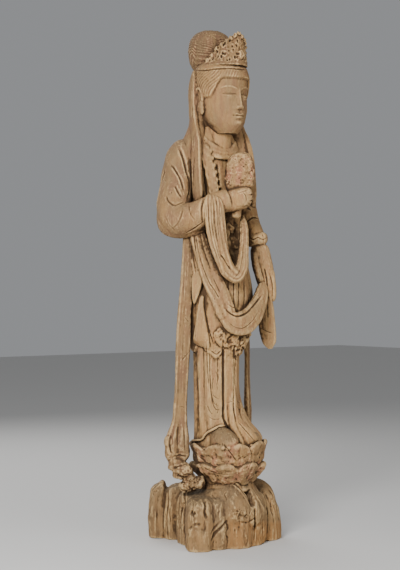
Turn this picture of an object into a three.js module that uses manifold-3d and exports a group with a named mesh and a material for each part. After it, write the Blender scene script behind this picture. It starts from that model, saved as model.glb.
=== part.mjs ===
// A carved wooden Guanyin, standing on a lotus that rises from a rock: one trunk of wood, carved through.
// Millimetres, +Z up. The figure faces -Y, and its right hand is on the -X side.
// The origin is on the floor, under the middle of the lotus's top.
import * as THREE from "three";
import { mergeVertices } from "three/addons/utils/BufferGeometryUtils.js";
import Module from "manifold-3d";

const wasm = await Module();
wasm.setup();

// Driving sizes.
const figureHeight = 870; // from the lotus's top to the top of the hair knot
const lotusRadius = 84; // to the tips of the upper petals
const lotusHeight = 70; // from the lowest petals' hem to the top the figure stands on
const lotusPetals = 9; // in each of the two rows
const neckHeight = 20; // the waist between the lotus and the rock
const rockHeight = 120; // to the highest boulder's shoulder

const rockTop = rockHeight;
const lotusBottom = rockTop + neckHeight;
const lotusTop = lotusBottom + lotusHeight;

// The figure is laid out on a height of 87 parts, measured up from the lotus's top.
const part = figureHeight / 87;
const at = (x, y, z) => new THREE.Vector3(x * part, y * part, lotusTop + z * part);

const { sin, cos, abs, exp, hypot, sign, PI } = Math;
const { degToRad: radians, radToDeg: degrees, clamp, smoothstep } = THREE.MathUtils;
const bump = (distance, width) => exp(-((distance / width) ** 2));
const power = (value, exponent) => sign(value) * abs(value) ** exponent;

// A three.js geometry as a closed solid, its faces turned outwards.
function solid(geometry) {
  geometry.deleteAttribute("normal");
  geometry.deleteAttribute("uv");
  const merged = mergeVertices(geometry, 1e-3);
  const vertProperties = merged.attributes.position.array;
  const triVerts = new Uint32Array(merged.index.array);
  const made = new wasm.Manifold(new wasm.Mesh({ numProp: 3, vertProperties, triVerts }));
  if (made.volume() > 0) return made;
  for (let i = 0; i < triVerts.length; i += 3) {
    [triVerts[i + 1], triVerts[i + 2]] = [triVerts[i + 2], triVerts[i + 1]];
  }
  return new wasm.Manifold(new wasm.Mesh({ numProp: 3, vertProperties, triVerts }));
}

// A cylinder's skin, moved to where place(turn, along, out) says: turn runs round it in radians, along goes
// from 0 at the bottom to 1 at the top, and out is 1 on the skin and 0 in the middle of each end.
function skin(sides, steps, place) {
  const geometry = new THREE.CylinderGeometry(1, 1, 1, sides, steps);
  const position = geometry.attributes.position;
  const from = new THREE.Vector3();
  for (let i = 0; i < position.count; i++) {
    from.fromBufferAttribute(position, i);
    const to = place(Math.atan2(from.x, from.z), from.y + 0.5, hypot(from.x, from.z));
    position.setXYZ(i, to.x, to.y, to.z);
  }
  return solid(geometry);
}

// A round form with its own half sizes, turned about Z and moved to its centre. push may move each vertex.
function lump(centre, halfSizes, { turn = 0, detail = 10, push } = {}) {
  const geometry = new THREE.SphereGeometry(1, detail, Math.ceil(detail * 0.6));
  geometry.rotateX(PI / 2);
  const position = geometry.attributes.position;
  const v = new THREE.Vector3();
  for (let i = 0; i < position.count; i++) {
    v.fromBufferAttribute(position, i);
    if (push) push(v);
    v.set(v.x * halfSizes[0], v.y * halfSizes[1], v.z * halfSizes[2]).multiplyScalar(part);
    position.setXYZ(i, v.x, v.y, v.z);
  }
  geometry.rotateZ(radians(turn));
  geometry.translate(centre.x, centre.y, centre.z);
  return solid(geometry);
}

// Rows of [station, value, value, ...] read at any station, with a smooth curve between the rows.
function read(rows, station) {
  const last = rows.length - 1;
  let i = rows.findIndex((row) => row[0] > station) - 1;
  if (i < 0) i = station < rows[0][0] ? 0 : last - 1;
  const [a, b] = [rows[i], rows[i + 1]];
  const t = clamp((station - a[0]) / (b[0] - a[0]), 0, 1);
  const [before, after] = [rows[Math.max(i - 1, 0)], rows[Math.min(i + 2, last)]];
  return a.slice(1).map((value, k) => {
    const column = k + 1;
    const slope = (p, q) => (q[column] - p[column]) / (q[0] - p[0] || 1);
    const run = b[0] - a[0];
    const [m0, m1] = [slope(before, b) * run, slope(a, after) * run];
    const [t2, t3] = [t * t, t * t * t];
    const level = (2 * t3 - 3 * t2 + 1) * value + (3 * t2 - 2 * t3) * b[column];
    return level + (t3 - 2 * t2 + t) * m0 + (t3 - t2) * m1;
  });
}

// A form drawn along a line of stations [x, y, z, half width, half thickness]. Its width lies across the line
// and across facing. Ridges are rounded flutes down its outer face, beads swell it that many times along its
// run, and folds wind that many creases round it.
function along(stations, options) {
  const { facing, sides = 12, steps = 12, square = 1, ends = 0.12 } = options;
  const { ridges = 0, beads = 0, folds = 0 } = options;
  const line = new THREE.CatmullRomCurve3(stations.map(([x, y, z]) => at(x, y, z)), false, "centripetal");
  const sizes = stations.map((row, i) => [i / (stations.length - 1), row[3], row[4] ?? row[3]]);
  return skin(sides, steps, (turn, t, out) => {
    const centre = line.getPoint(t);
    const tangent = line.getTangent(t);
    const outwards = facing(centre.clone().divideScalar(part)).normalize();
    const across = new THREE.Vector3().crossVectors(tangent, outwards).normalize();
    const face = new THREE.Vector3().crossVectors(across, tangent).normalize();
    const [width, thickness] = read(sizes, t);
    const round = Math.sqrt(1 - clamp(1 - Math.min(t, 1 - t) / ends, 0, 0.92) ** 2) * out;
    const u = power(cos(turn), square);
    const w = power(sin(turn), square);
    const flute = w > 0 && ridges ? 0.5 + 0.5 * abs(cos(0.5 * PI * ridges * (u + 1))) : 1;
    const crease = folds ? 1 + 0.07 * cos(2 * PI * folds * t + turn) : 1;
    const size = part * round * crease * (beads ? 0.75 + 0.35 * abs(sin(PI * beads * t)) : 1);
    centre.addScaledVector(across, width * size * u);
    return centre.addScaledVector(face, thickness * size * w * flute);
  });
}

const fromAxis = (p) => new THREE.Vector3(p.x, p.y - 1.5, 0);
const towards = (x, y, z = 0) => () => new THREE.Vector3(x, y, z);

// The robe: rows of height, middle x and y, half width and half depth.
const robeRows = [
  [-0.8, 0.2, -0.6, 7.3, 6.4],
  [1.5, 0.1, -0.3, 6.7, 5.6],
  [5, -0.1, 0, 6.2, 5.0],
  [12, -0.2, 0.2, 6.0, 4.8],
  [19, -0.2, 0.2, 6.1, 4.9],
  [26, -0.2, 0.3, 6.7, 5.4],
  [32, -0.2, 0.6, 6.8, 5.4],
  [38, -0.2, 1.2, 6.3, 5.1],
  [44, -0.1, 2.0, 6.0, 4.9],
  [50, 0, 2.8, 6.2, 4.9],
  [56, 0, 3.4, 7.2, 4.7],
  [60, 0, 3.6, 8.4, 4.4],
  [62.6, 0, 3.5, 7.6, 4.1],
  [64.6, 0, 3.1, 5.2, 3.6],
  [66.6, 0, 2.5, 3.4, 3.1],
];
const hemHeight = 20.5; // of the short outer skirt, at the front
const sashFrom = -29; // degrees round from the front, towards the figure's right
const sashTo = -4;

// How far the carving stands out of the robe at an angle in degrees from the front and a height in parts.
function robeFolds(angle, z) {
  const hem = hemHeight - 3.5 * bump(angle + 62, 22) - 2.5 * (abs(angle) > 100 ? 1 : 0);
  const outer = 0.5 * smoothstep(z, hem - 0.5, hem + 0.5) * (1 - smoothstep(z, 34, 44));
  const skirt = 1 - smoothstep(z, hem - 1, hem);
  const back = smoothstep(abs(angle), 95, 125);
  const sash = angle > sashFrom && angle < sashTo ? 0.3 : 0;
  const seams = -0.75 * (bump(angle - sashFrom, 3.5) + bump(angle - sashTo, 3.5));
  const pleats = 0.32 * abs(sin(radians(angle * 5.2))) * (angle < -38 || angle > 8 ? 1 : 0) * (1 - back);
  const upper = 0.38 * cos(radians(angle * 9)) * (1 - smoothstep(z, 46, 58)) * (1 - skirt) * (1 - back);
  const behind = 0.45 * cos(radians(angle * 6)) * back * (1 - smoothstep(z, 52, 64));
  const belly = 0.5 * bump(angle, 45) * bump(z - 41, 6);
  return outer + skirt * (sash + seams + pleats) + upper + behind + belly;
}

// A point on the robe in parts, at an angle in degrees from the front and a height in parts.
function onRobe(angle, z, out = 1) {
  const [x, y, halfWidth, halfDepth] = read(robeRows, z);
  const fold = robeFolds(angle, z);
  const turn = radians(angle);
  return [x + out * (halfWidth + fold) * sin(turn), y - out * (halfDepth + fold) * cos(turn), z];
}

function robe() {
  const [bottom, top] = [robeRows[0][0], robeRows.at(-1)[0]];
  return skin(40, 20, (turn, t, out) => {
    const round = turn - 0.3 * sin(turn); // closer together at the front
    return at(...onRobe(degrees(round), bottom + (top - bottom) * t, out));
  });
}

// Arms in wide sleeves, the right one bent up to the chest and the left one hanging.
function arms() {
  const right = [
    [-5.4, 4.0, 63.4, 2.1], [-7.6, 4.0, 60.4, 3.1], [-9.4, 3.5, 54, 3.4], [-10.7, 2.4, 48.8, 3.6],
    [-10.9, 1.2, 46.6, 3.5], [-9.0, -1.4, 47.0, 3.1], [-6.4, -4.4, 48.9, 2.6], [-3.6, -6.0, 50.2, 1.9],
  ];
  const left = [
    [5.4, 4.0, 63.4, 2.1], [7.6, 4.1, 60.4, 3.0], [8.8, 4.7, 54, 3.0], [9.3, 4.9, 49.6, 2.9],
    [9.3, 3.0, 46.0, 2.7], [9.1, 0.4, 43.6, 2.3], [9.1, -0.6, 41.6, 2.0],
  ];
  const facing = fromAxis;
  return [
    along(right, { sides: 12, steps: 16, facing, folds: 4, ends: 0.1 }),
    along(left, { sides: 10, steps: 12, facing, folds: 3, ends: 0.08 }),
  ];
}

// The left hand hangs and holds the scarf: a rolled cuff, the back of the hand and four fingers with a thumb.
function leftHand() {
  const cuff = lump(at(9.1, -0.5, 42.4), [2.6, 2.5, 1.3], { detail: 8 });
  const facing = towards(-0.62, -0.78);
  const palm = along([[9.1, -0.9, 41.5, 1.9, 1.3], [9.2, -1.6, 38.4, 2.4, 1.5], [9.3, -2.3, 35, 2.4, 1.4]], {
    sides: 8, steps: 4, facing,
  });
  const made = [cuff, palm];
  for (let finger = 0; finger < 4; finger++) {
    const across = (finger - 1.5) * 0.95;
    const [x, y] = [9.2 + 0.79 * across, -2.5 - 0.62 * across];
    const drop = 30.2 + 0.8 * abs(finger - 2);
    made.push(along([[x, y, 36, 0.68], [x + 0.2, y - 0.5, 33, 0.68], [x + 0.1, y - 0.3, drop, 0.55]], {
      sides: 6, steps: 3, facing,
    }));
  }
  return made;
}

// The right hand is worn to a block, and so is the bud that it holds up to the chest.
function rightHand() {
  const fist = lump(at(-1.5, -6.3, 50.7), [3.4, 2.3, 2.6], {
    turn: -38,
    push: (v) => v.set(power(v.x, 0.75), power(v.y, 0.8), power(v.z, 0.75) + 0.16 * v.x),
  });
  const bud = lump(at(0.1, -5.0, 56.6), [3.0, 2.6, 4.3], {
    turn: -38,
    push: (v) => v.set(power(v.x, 0.8) * (1 - 0.1 * v.z), power(v.y, 0.8), power(v.z, 0.85) - 0.1 * v.x),
  });
  return [fist, bud];
}

// The head's rows of height, middle y, half width and half depth, from the chin up.
const headRows = [
  [64.6, -1.6, 2.0, 2.2],
  [66.2, -1.3, 3.6, 3.9],
  [68.4, -0.6, 4.5, 5.1],
  [71.5, 0, 5.0, 5.9],
  [74.5, 0.2, 5.3, 6.2],
  [77.0, 0.3, 5.1, 6.0],
  [79.2, 0.4, 3.9, 4.6],
  [80.4, 0.5, 2.0, 2.4],
];
const hairLine = 75.6; // where the hair starts, at the middle of the brow
const browHeight = 73.2;
const noseTip = 69.9;
const mouthHeight = 68.1;

// How far the face's and the hair's carving stands out of the head.
function headRelief(angle, z) {
  const front = bump(angle, 50);
  const edge = hairLine - 4.2 * smoothstep(abs(angle), 35, 80) - 5.4 * smoothstep(abs(angle), 95, 125);
  const locks = 0.16 * cos(radians(angle * 16)) * smoothstep(z, edge, edge + 1);
  const hair = 0.55 * smoothstep(z, edge - 0.3, edge + 0.5) + locks;
  const belowBrow = 1 - smoothstep(z, noseTip + 0.6, browHeight);
  const nose = 0.95 * bump(angle, 8) * smoothstep(z, noseTip - 0.5, noseTip + 0.4) * belowBrow;
  const bridge = 0.45 * bump(angle, 9) * bump(z - (browHeight - 1.4), 1.3);
  const sockets = -0.35 * bump(abs(angle) - 25, 11) * bump(z - (browHeight - 1.1), 0.9);
  const lips = 0.3 * bump(angle, 13) * bump(z - mouthHeight, 0.6);
  const chin = 0.35 * bump(angle, 18) * bump(z - 66, 0.9);
  return hair + front * (nose + bridge + sockets + lips + chin);
}

function head() {
  const [bottom, top] = [headRows[0][0], headRows.at(-1)[0]];
  const skull = skin(26, 18, (turn, t, out) => {
    const z = bottom + (top - bottom) * (t + 0.05 * sin(2 * PI * t));
    const [y, halfWidth, halfDepth] = read(headRows, z);
    const round = turn - 0.42 * sin(turn);
    const relief = headRelief(degrees(round), z);
    return at(out * (halfWidth + relief) * sin(round), y - out * (halfDepth + relief) * cos(round), z);
  });
  const throatLine = [[0, 2.4, 58.5, 3.4], [0, 1.6, 63, 3.1], [0, 0.6, 67.5, 3.0]];
  const throat = along(throatLine, { facing: towards(0, -1), steps: 4 });
  const ears = [-1, 1].map((side) => lump(at(side * 5.2, 0.9, 71.6), [0.6, 1.1, 2.5], { detail: 6 }));
  return [skull, throat, ...ears];
}

// The high knot of hair behind, in rows of height and radius, and the pointed crown of curls before it.
const knotRows = [[77.5, 3.9], [79.5, 4.3], [81.5, 4.8], [83.5, 4.8], [85.3, 4.2], [86.4, 3.0], [87, 1.6]];

function headdress() {
  const knot = skin(16, 8, (turn, t, out) => {
    const z = 77.5 + 9.5 * t;
    const [radius] = read(knotRows, z);
    const lock = 0.15 * cos(9 * turn + 5 * t);
    return at(out * (radius + lock) * sin(turn), 3.9 - out * (0.95 * radius + lock) * cos(turn), z);
  });
  const crown = skin(26, 6, (turn, t, out) => {
    const front = bump(degrees(turn), 52) * out;
    const z = 78 + t * (2.4 + 5.8 * front);
    const curls = 0.26 * cos(9 * turn + (Math.round(6 * t) % 2) * PI) * (t > 0 ? 1 : 0);
    const lean = 0.7 * t * (1 - front);
    const depth = (6.7 + curls) * out * cos(turn) * (1 - 0.04 * t);
    return at((4.9 + curls) * out * sin(turn), 0.2 + lean - depth, z);
  });
  return [knot, crown];
}

// Two ribbons fall from behind the ears over the shoulders.
function hairRibbons() {
  const run = [
    [5.0, 3.2, 77], [5.3, 3.0, 72.5], [5.6, 2.6, 68.8], [6.4, 0.9, 65.6], [6.9, -0.5, 62],
    [7.1, -0.9, 57], [7.2, -1.2, 51],
  ];
  return [-1, 1].map((side) => {
    const stations = run.map(([x, y, z], i) => {
      const low = side < 0 ? 0 : 1.2 * smoothstep(i, 3, 6);
      return [side * (x + low), y + 1.4 * low, z, 1.6, 0.8];
    });
    return along(stations, { sides: 6, steps: 8, facing: fromAxis, square: 0.8 });
  });
}

// Scarves: the inner one is looped over the right forearm, and the outer one is caught up in the left hand,
// with its end hanging below it.
function scarves() {
  const inner = [
    [-7.6, -2.6, 51.4, 1.9, 0.8], [-7.3, -6.1, 50.6, 2.0, 0.8], [-6.7, -6.4, 44, 2.1, 0.9],
    [-5.4, -6.4, 39.2, 2.0, 0.9], [-3.4, -6.8, 35.4, 1.6, 0.9], [-1.3, -7.0, 34.4, 1.5, 0.9],
    [0.8, -6.6, 37.0, 1.4, 0.8], [2.2, -5.4, 41.6, 1.4, 0.8], [2.6, -4.2, 46, 1.4, 0.8],
    [2.4, -2.6, 50, 1.2, 0.8],
  ];
  const outer = [
    [-7.0, -0.6, 45.5, 1.8, 0.8], [-6.4, -1.6, 39.3, 2.4, 0.9], [-5.6, -3.6, 32, 2.8, 1.0],
    [-3.9, -5.4, 27.2, 3.1, 1.0], [-0.6, -6.8, 24.9, 3.2, 1.0], [3.9, -6.2, 27.0, 2.6, 0.9],
    [7.6, -4.2, 30.8, 1.7, 0.8], [9.4, -3.2, 34.2, 1.2, 0.7],
  ];
  const tail = [
    [9.7, -2.6, 31.8, 1.0, 0.7], [9.6, -2.9, 27.5, 1.3, 0.7], [9.5, -3.0, 23, 1.7, 0.7],
    [9.9, -3.1, 19.6, 0.9, 0.5],
  ];
  return [
    along(inner, { sides: 16, steps: 20, facing: fromAxis, ridges: 3, square: 0.75 }),
    along(outer, { sides: 16, steps: 16, facing: fromAxis, ridges: 3, square: 0.75 }),
    along(tail, { sides: 8, steps: 7, facing: towards(-0.62, -0.78), square: 0.8 }),
  ];
}

// The long ribbons hang clear of the skirt from the elbows. The right one ends in a cloud, and the left one
// on the rock.
function longRibbons() {
  const right = [
    [-9.6, 1.4, 45, 2.0, 1.0], [-9.2, 1.2, 38, 1.6, 1.0], [-9.2, 1.2, 29, 1.5, 1.0],
    [-9.6, 1.2, 20, 1.5, 1.0], [-9.9, 1.2, 10, 1.6, 1.0], [-10.2, 1.2, 3, 1.9, 1.1],
    [-10.7, 1.3, -1.6, 2.7, 1.4], [-10.2, 1.2, -5.4, 2.2, 1.3], [-9.4, 1.0, -7.6, 1.6, 1.1],
  ];
  const left = [
    [9.2, 4.4, 48, 1.6, 1.0], [8.9, 4.6, 38, 1.5, 0.9], [8.8, 4.4, 28, 1.5, 0.9], [9.2, 4.2, 19, 1.7, 0.9],
    [8.6, 3.9, 12, 1.4, 0.9], [9.5, 3.4, 5, 1.8, 1.0], [8.9, 3.0, -2, 1.8, 1.1], [8.4, 3.2, -11, 1.5, 1.2],
  ];
  const panel = [
    [-8.8, -0.6, 46, 1.8, 0.9], [-7.7, -0.9, 40, 1.8, 0.9], [-7.1, -1.0, 34, 1.3, 0.8],
    [-7.0, -1.0, 28.6, 0.6, 0.6],
  ];
  const facing = towards(-0.62, -0.78);
  return [
    along(right, { sides: 8, steps: 14, facing, ridges: 2, square: 0.8, ends: 0.06 }),
    along(left, { sides: 8, steps: 12, facing: towards(0.62, -0.78), ridges: 2, square: 0.8, ends: 0.06 }),
    along(panel, { sides: 8, steps: 5, facing, square: 0.8 }),
    lump(at(-8.0, 0.4, -6.6), [1.5, 1.4, 1.1], { detail: 8 }),
    lump(at(-6.8, 0.2, -8.6), [2.4, 2.2, 1.8], { detail: 8 }),
  ];
}

// Beads down the right side of the chest, and the pendants at the waist and on the upper skirt's hem.
function jewels() {
  const drop = [[-44, 62.5], [-32, 57.2], [-24, 51.5]];
  const string = drop.map(([angle, z]) => [...onRobe(angle, z, 1.05), 0.9]);
  const made = [along(string, { sides: 5, steps: 12, facing: towards(-0.4, -0.9), beads: 6 })];
  const pendants = [
    [6, 46.8, 1.8], [8, 43.4, 1.4], [9, 40.4, 1.3], [-40, 21.6, 1.2], [-16, 21, 1.2], [4, 21.2, 1.3],
  ];
  for (const [angle, z, radius] of pendants) {
    made.push(lump(at(...onRobe(angle, z)), [radius, radius * 0.8, radius], { turn: angle, detail: 6 }));
  }
  return made;
}

// Feet under the hem, the left one under a trailing fold.
function feet() {
  const toe = (v) => v.set(v.x, power(v.y, 0.8), v.z * (1 + 0.35 * v.y));
  return [
    lump(at(-3.6, -5.0, 0.6), [2.5, 4.0, 2.0], { turn: -8, detail: 8, push: toe }),
    lump(at(2.6, -4.6, 0.8), [2.6, 4.0, 2.2], { turn: 14, detail: 8, push: toe }),
    lump(at(5.0, -1.6, 0.2), [3.0, 3.8, 2.4], { turn: 40, detail: 8 }),
  ];
}

// The lotus: two rows of petals on a bowl, the upper ones between the lower. The rows of its profile go from
// the waist up: share of the lotus's height, share of its radius, how deep the gaps between the petals cut
// in, in parts, and which row of petals it belongs to.
const lotusCentre = new THREE.Vector3(0, -2 * part, 0);
const lotusRows = [
  [-0.3, 0.72, 0, 0], [-0.02, 0.7, 0.2, 0], [0.06, 0.84, 1.2, 0], [0.26, 0.93, 1.2, 0], [0.46, 0.97, 2.0, 0],
  [0.42, 0.84, 0.3, 1], [0.58, 0.9, 0.8, 1], [0.78, 0.97, 1.2, 1], [1, 1, 2.0, 1], [1.02, 0.93, 1.6, 1],
  [0.95, 0.78, 0, 1],
];

function lotus() {
  const steps = lotusRows.length - 1;
  return [
    skin(4 * lotusPetals, steps, (turn, t, out) => {
      const [height, radius, gap, row] = lotusRows[Math.round(t * steps)];
      const petals = abs(sin(0.5 * lotusPetals * turn + (row * PI) / 2)) ** 0.7;
      const r = out * (radius * lotusRadius - gap * part * (1 - petals));
      const z = lotusBottom + lotusHeight * (height - 0.11 * gap * (1 - petals) * out);
      return new THREE.Vector3(r * sin(turn), -r * cos(turn), z).add(lotusCentre);
    }),
  ];
}

// The rock: boulders side by side round the log, under a low saddle. Rows of middle x and y, half width, half
// depth, share of the rock's height, and the share of its height that the top falls away towards its right.
const boulders = [
  [6, 8, 98, 88, 0.96, 0],
  [-69, 130, 20, 29, 0.97, -0.06],
  [-38, 109, 27, 47, 0.95, -0.04],
  [-38, 49, 34, 65, 0.97, 0],
  [-54, -17, 46, 73, 0.84, 0],
  [-84, -36, 32, 40, 0.47, 0],
  [-7, -33, 36, 65, 0.9, 0.05],
  [29, -31, 31, 57, 0.87, 0.1],
  [90, -2, 55, 62, 1.02, 0.3],
  [80, 45, 60, 50, 0.88, 0.1],
  [24, 89, 62, 40, 0.85, 0.05],
];
const boulderTurn = -38; // degrees, so that they stand square to the log's front right
// The waist's rows of height, as share of the rock's, and radius in parts.
const neckRows = [[0.5, 5.8], [0.84, 6.8], [0.97, 6.2], [1.08, 5.3], [1.17, 5.8]];

function rock() {
  const made = boulders.map(([x, y, halfWidth, halfDepth, height, fall]) => {
    const body = skin(10, 3, (round, t, out) => {
      const u = power(sin(round), 0.8);
      const v = -power(cos(round), 0.8);
      const r = out * [0.96, 1, 0.92, 0.64][Math.round(3 * t)];
      const top = [0, 0.5, 0.85, 1][Math.round(3 * t)];
      const z = rockHeight * height * top * (1 - fall * u * top * out);
      return new THREE.Vector3(r * u * halfWidth, r * v * halfDepth, z);
    });
    return body.rotate([0, 0, boulderTurn]).translate([x, y, 0]);
  });
  const steps = neckRows.length - 1;
  const neck = skin(14, steps, (turn, t, out) => {
    const [height, radius] = neckRows[Math.round(t * steps)];
    const r = radius * part * out;
    return new THREE.Vector3(r * sin(turn), -r * cos(turn), rockHeight * height).add(lotusCentre);
  });
  return [...made, neck];
}

function figure() {
  const forms = [
    robe(), ...arms(), ...leftHand(), ...rightHand(), ...head(), ...headdress(), ...hairRibbons(),
    ...scarves(), ...longRibbons(), ...jewels(), ...feet(), ...lotus(), ...rock(),
  ];
  const joined = forms.reduce((whole, form) => whole.add(form));
  const { numProp, vertProperties, triVerts } = joined.getMesh();
  const positions = new Float32Array((vertProperties.length / numProp) * 3);
  for (let i = 0; i < positions.length / 3; i++) {
    positions.set(vertProperties.subarray(i * numProp, i * numProp + 3), i * 3);
  }
  const geometry = new THREE.BufferGeometry();
  geometry.setAttribute("position", new THREE.BufferAttribute(positions, 3));
  geometry.setIndex(new THREE.BufferAttribute(triVerts, 1));
  geometry.computeVertexNormals();
  const wood = new THREE.MeshStandardMaterial({ color: 0xa58a6c, roughness: 0.85, metalness: 0 });
  const mesh = new THREE.Mesh(geometry, wood);
  mesh.name = "guanyin_figure";
  return mesh;
}

const guanyin = new THREE.Group();
guanyin.add(figure());
export default guanyin;
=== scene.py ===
import math
import bpy
import numpy as np
from bpy.props import FloatProperty, FloatVectorProperty, IntProperty, PointerProperty
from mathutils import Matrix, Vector
from mathutils.bvhtree import BVHTree


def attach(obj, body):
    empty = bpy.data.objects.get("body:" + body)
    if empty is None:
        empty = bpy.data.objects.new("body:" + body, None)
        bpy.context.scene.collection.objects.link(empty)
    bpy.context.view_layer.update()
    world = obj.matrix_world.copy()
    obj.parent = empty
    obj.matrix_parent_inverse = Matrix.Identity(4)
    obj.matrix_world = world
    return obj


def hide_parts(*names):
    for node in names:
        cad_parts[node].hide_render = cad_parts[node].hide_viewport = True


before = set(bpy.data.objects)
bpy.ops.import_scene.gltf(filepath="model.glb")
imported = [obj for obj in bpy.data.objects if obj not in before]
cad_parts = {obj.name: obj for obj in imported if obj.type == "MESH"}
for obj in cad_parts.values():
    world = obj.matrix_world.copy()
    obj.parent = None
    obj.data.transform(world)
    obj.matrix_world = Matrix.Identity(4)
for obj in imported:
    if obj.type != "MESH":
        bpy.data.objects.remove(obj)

bl_info = {
    "name": "Carved Guanyin",
    "version": (1, 0, 0),
    "blender": (4, 5, 0),
    "location": "3D View > Sidebar > Carving",
    "description": "Carves a weathered wooden Guanyin on a lotus and a rock",
    "category": "Object",
}

# The figure is laid out in centimetres, up from the lotus's top, with its front towards -Y and its right hand on -X
CM = 0.01
LOTUS_TOP = 0.21  # above the floor, in metres
FLOOR = -21.0
TRUNK_Y = 1.5  # where the trunk's middle stands
VIEW = -38.0  # the azimuth that the photograph was taken from
EYE_DISTANCE, EYE_HEIGHT, EYE_ASIDE = 300.0, 33.0, 4.6  # from the middle, up, and to the left
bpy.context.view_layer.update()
NODE = "guanyin_figure"
SLOT = "weathered_wood"


# Curves and noise

def smoothstep(x, low, high):
    """Rises smoothly from 0 at low to 1 at high."""
    t = np.clip((x - low) / (high - low), 0.0, 1.0)
    return t * t * (3.0 - 2.0 * t)


def bump(distance, width):
    """1 at no distance, and near 0 past twice the width."""
    return np.exp(-((distance / width) ** 2))


def power(value, exponent):
    """The power of a value, with the value's own sign."""
    return np.sign(value) * np.abs(value) ** exponent


def around_front(turn):
    """A turn in radians as degrees from the front, from -180 to 180."""
    return np.degrees((turn + np.pi) % (2 * np.pi) - np.pi)


def read(rows, station):
    """The values of smooth curves at each station, from rows of station, value, value and so on."""
    rows = np.asarray(rows, float)
    x, y = rows[:, 0], rows[:, 1:]
    slope = np.gradient(y, x, axis=0)
    station = np.clip(np.asarray(station, float), x[0], x[-1])
    i = np.clip(np.searchsorted(x, station, side="right") - 1, 0, len(x) - 2)
    run = (x[i + 1] - x[i])[..., None]
    t = (station - x[i])[..., None] / run
    t2, t3 = t * t, t * t * t
    return ((2 * t3 - 3 * t2 + 1) * y[i] + (t3 - 2 * t2 + t) * slope[i] * run
            + (3 * t2 - 2 * t3) * y[i + 1] + (t3 - t2) * slope[i + 1] * run)


def lattice(ix, iy, iz, seed):
    """A scattered number from -1 to 1 for each corner of a grid."""
    n = (ix * 374761393 + iy * 668265263 + iz * 1442695041 + seed * 974634777) & 0xFFFFFFFF
    n = ((n ^ (n >> 13)) * 1274126177) & 0xFFFFFFFF
    return ((n ^ (n >> 16)) & 0xFFFFFF) / float(0x7FFFFF) - 1.0


def noise(points, seed):
    """Smooth noise from -1 to 1 at each point."""
    base = np.floor(points).astype(np.int64)
    f = points - base
    f = f * f * f * (f * (f * 6 - 15) + 10)
    total = 0.0
    for dx in (0, 1):
        wx = f[..., 0] if dx else 1 - f[..., 0]
        for dy in (0, 1):
            wy = f[..., 1] if dy else 1 - f[..., 1]
            for dz in (0, 1):
                wz = f[..., 2] if dz else 1 - f[..., 2]
                total = total + wx * wy * wz * lattice(base[..., 0] + dx, base[..., 1] + dy, base[..., 2] + dz, seed)
    return total


def layered(points, octaves, seed):
    """Noise with finer and fainter noise laid over it."""
    return sum(noise(points * 2.0 ** n + 17.3 * n, seed + n) * 0.5 ** n for n in range(octaves))


def cells(points, seed):
    """The distance from each point to the nearest of scattered centres, one in each cell of a unit grid."""
    base = np.floor(points).astype(np.int64)
    near = np.full(len(points), 9.0)
    steps = np.stack(np.meshgrid(*[[-1, 0, 1]] * points.shape[1], indexing="ij"), -1).reshape(-1, points.shape[1])
    for step in steps:
        cell = base + step
        key = [cell[:, n] if n < cell.shape[1] else 0 * cell[:, 0] for n in range(3)]
        jitter = np.stack([lattice(*key, seed + 31 * n) for n in range(cell.shape[1])], -1)
        near = np.minimum(near, np.linalg.norm(points - cell - 0.5 - 0.42 * jitter, axis=1))
    return near


# Places. A drawing lies on the upright plane through the trunk's middle, seen from an azimuth: s to the right, z up

def directions(azimuth=VIEW):
    """To the right and out of a drawing, as level directions."""
    a = math.radians(azimuth)
    return np.array([math.cos(a), math.sin(a), 0.0]), np.array([math.sin(a), -math.cos(a), 0.0])


def seen(s, z, depth):
    """The point at s and z in the front drawing and that far out of it."""
    side, out = directions()
    return side * s + out * depth + [0, 0, z]


def drawn(*rows):
    """Stations for a limb, from rows of s, z, depth and sizes in the front drawing."""
    return [(*seen(*row[:3]), *row[3:]) for row in rows]


# Closed forms, each a pair of points in centimetres and faces

BLUNT_TIP = 0.92  # how much of a quarter circle a limb's end narrows along


def skin(sides, steps, place):
    """A tube's points put where place(turn, along, out) says, with both ends closed on a middle point."""
    turn, t = np.meshgrid(np.linspace(0, 2 * np.pi, sides, endpoint=False), np.linspace(0, 1, steps + 1))
    wall = np.stack(np.broadcast_arrays(*place(turn, t, 1.0)), -1).reshape(-1, 3)
    zero = np.zeros(1)
    ends = [np.stack(np.broadcast_arrays(*place(zero, zero + end, 0.0)), -1).reshape(1, 3) for end in (0.0, 1.0)]
    points = np.concatenate([wall, *ends])
    ring = np.arange(sides)
    after = (ring + 1) % sides
    faces = []
    for row in range(steps):
        low, high = row * sides, (row + 1) * sides
        faces += np.stack([low + ring, low + after, high + after, high + ring], 1).tolist()
    bottom, top, last = len(wall), len(wall) + 1, steps * sides
    faces += np.stack([after, ring, np.full(sides, bottom)], 1).tolist()
    faces += np.stack([last + ring, last + after, np.full(sides, top)], 1).tolist()
    return points, faces


def from_axis(centre):
    """Outwards from the trunk's middle, at each point."""
    out = centre * [1.0, 1.0, 0.0]
    out[..., 1] -= TRUNK_Y
    return out


def towards(x, y, z=0.0):
    """The same direction at each point."""
    return lambda centre: np.broadcast_to(np.array([x, y, z], float), centre.shape).copy()


def unit(vectors):
    """Each vector at length 1."""
    return vectors / np.maximum(np.linalg.norm(vectors, axis=-1, keepdims=True), 1e-9)


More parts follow.
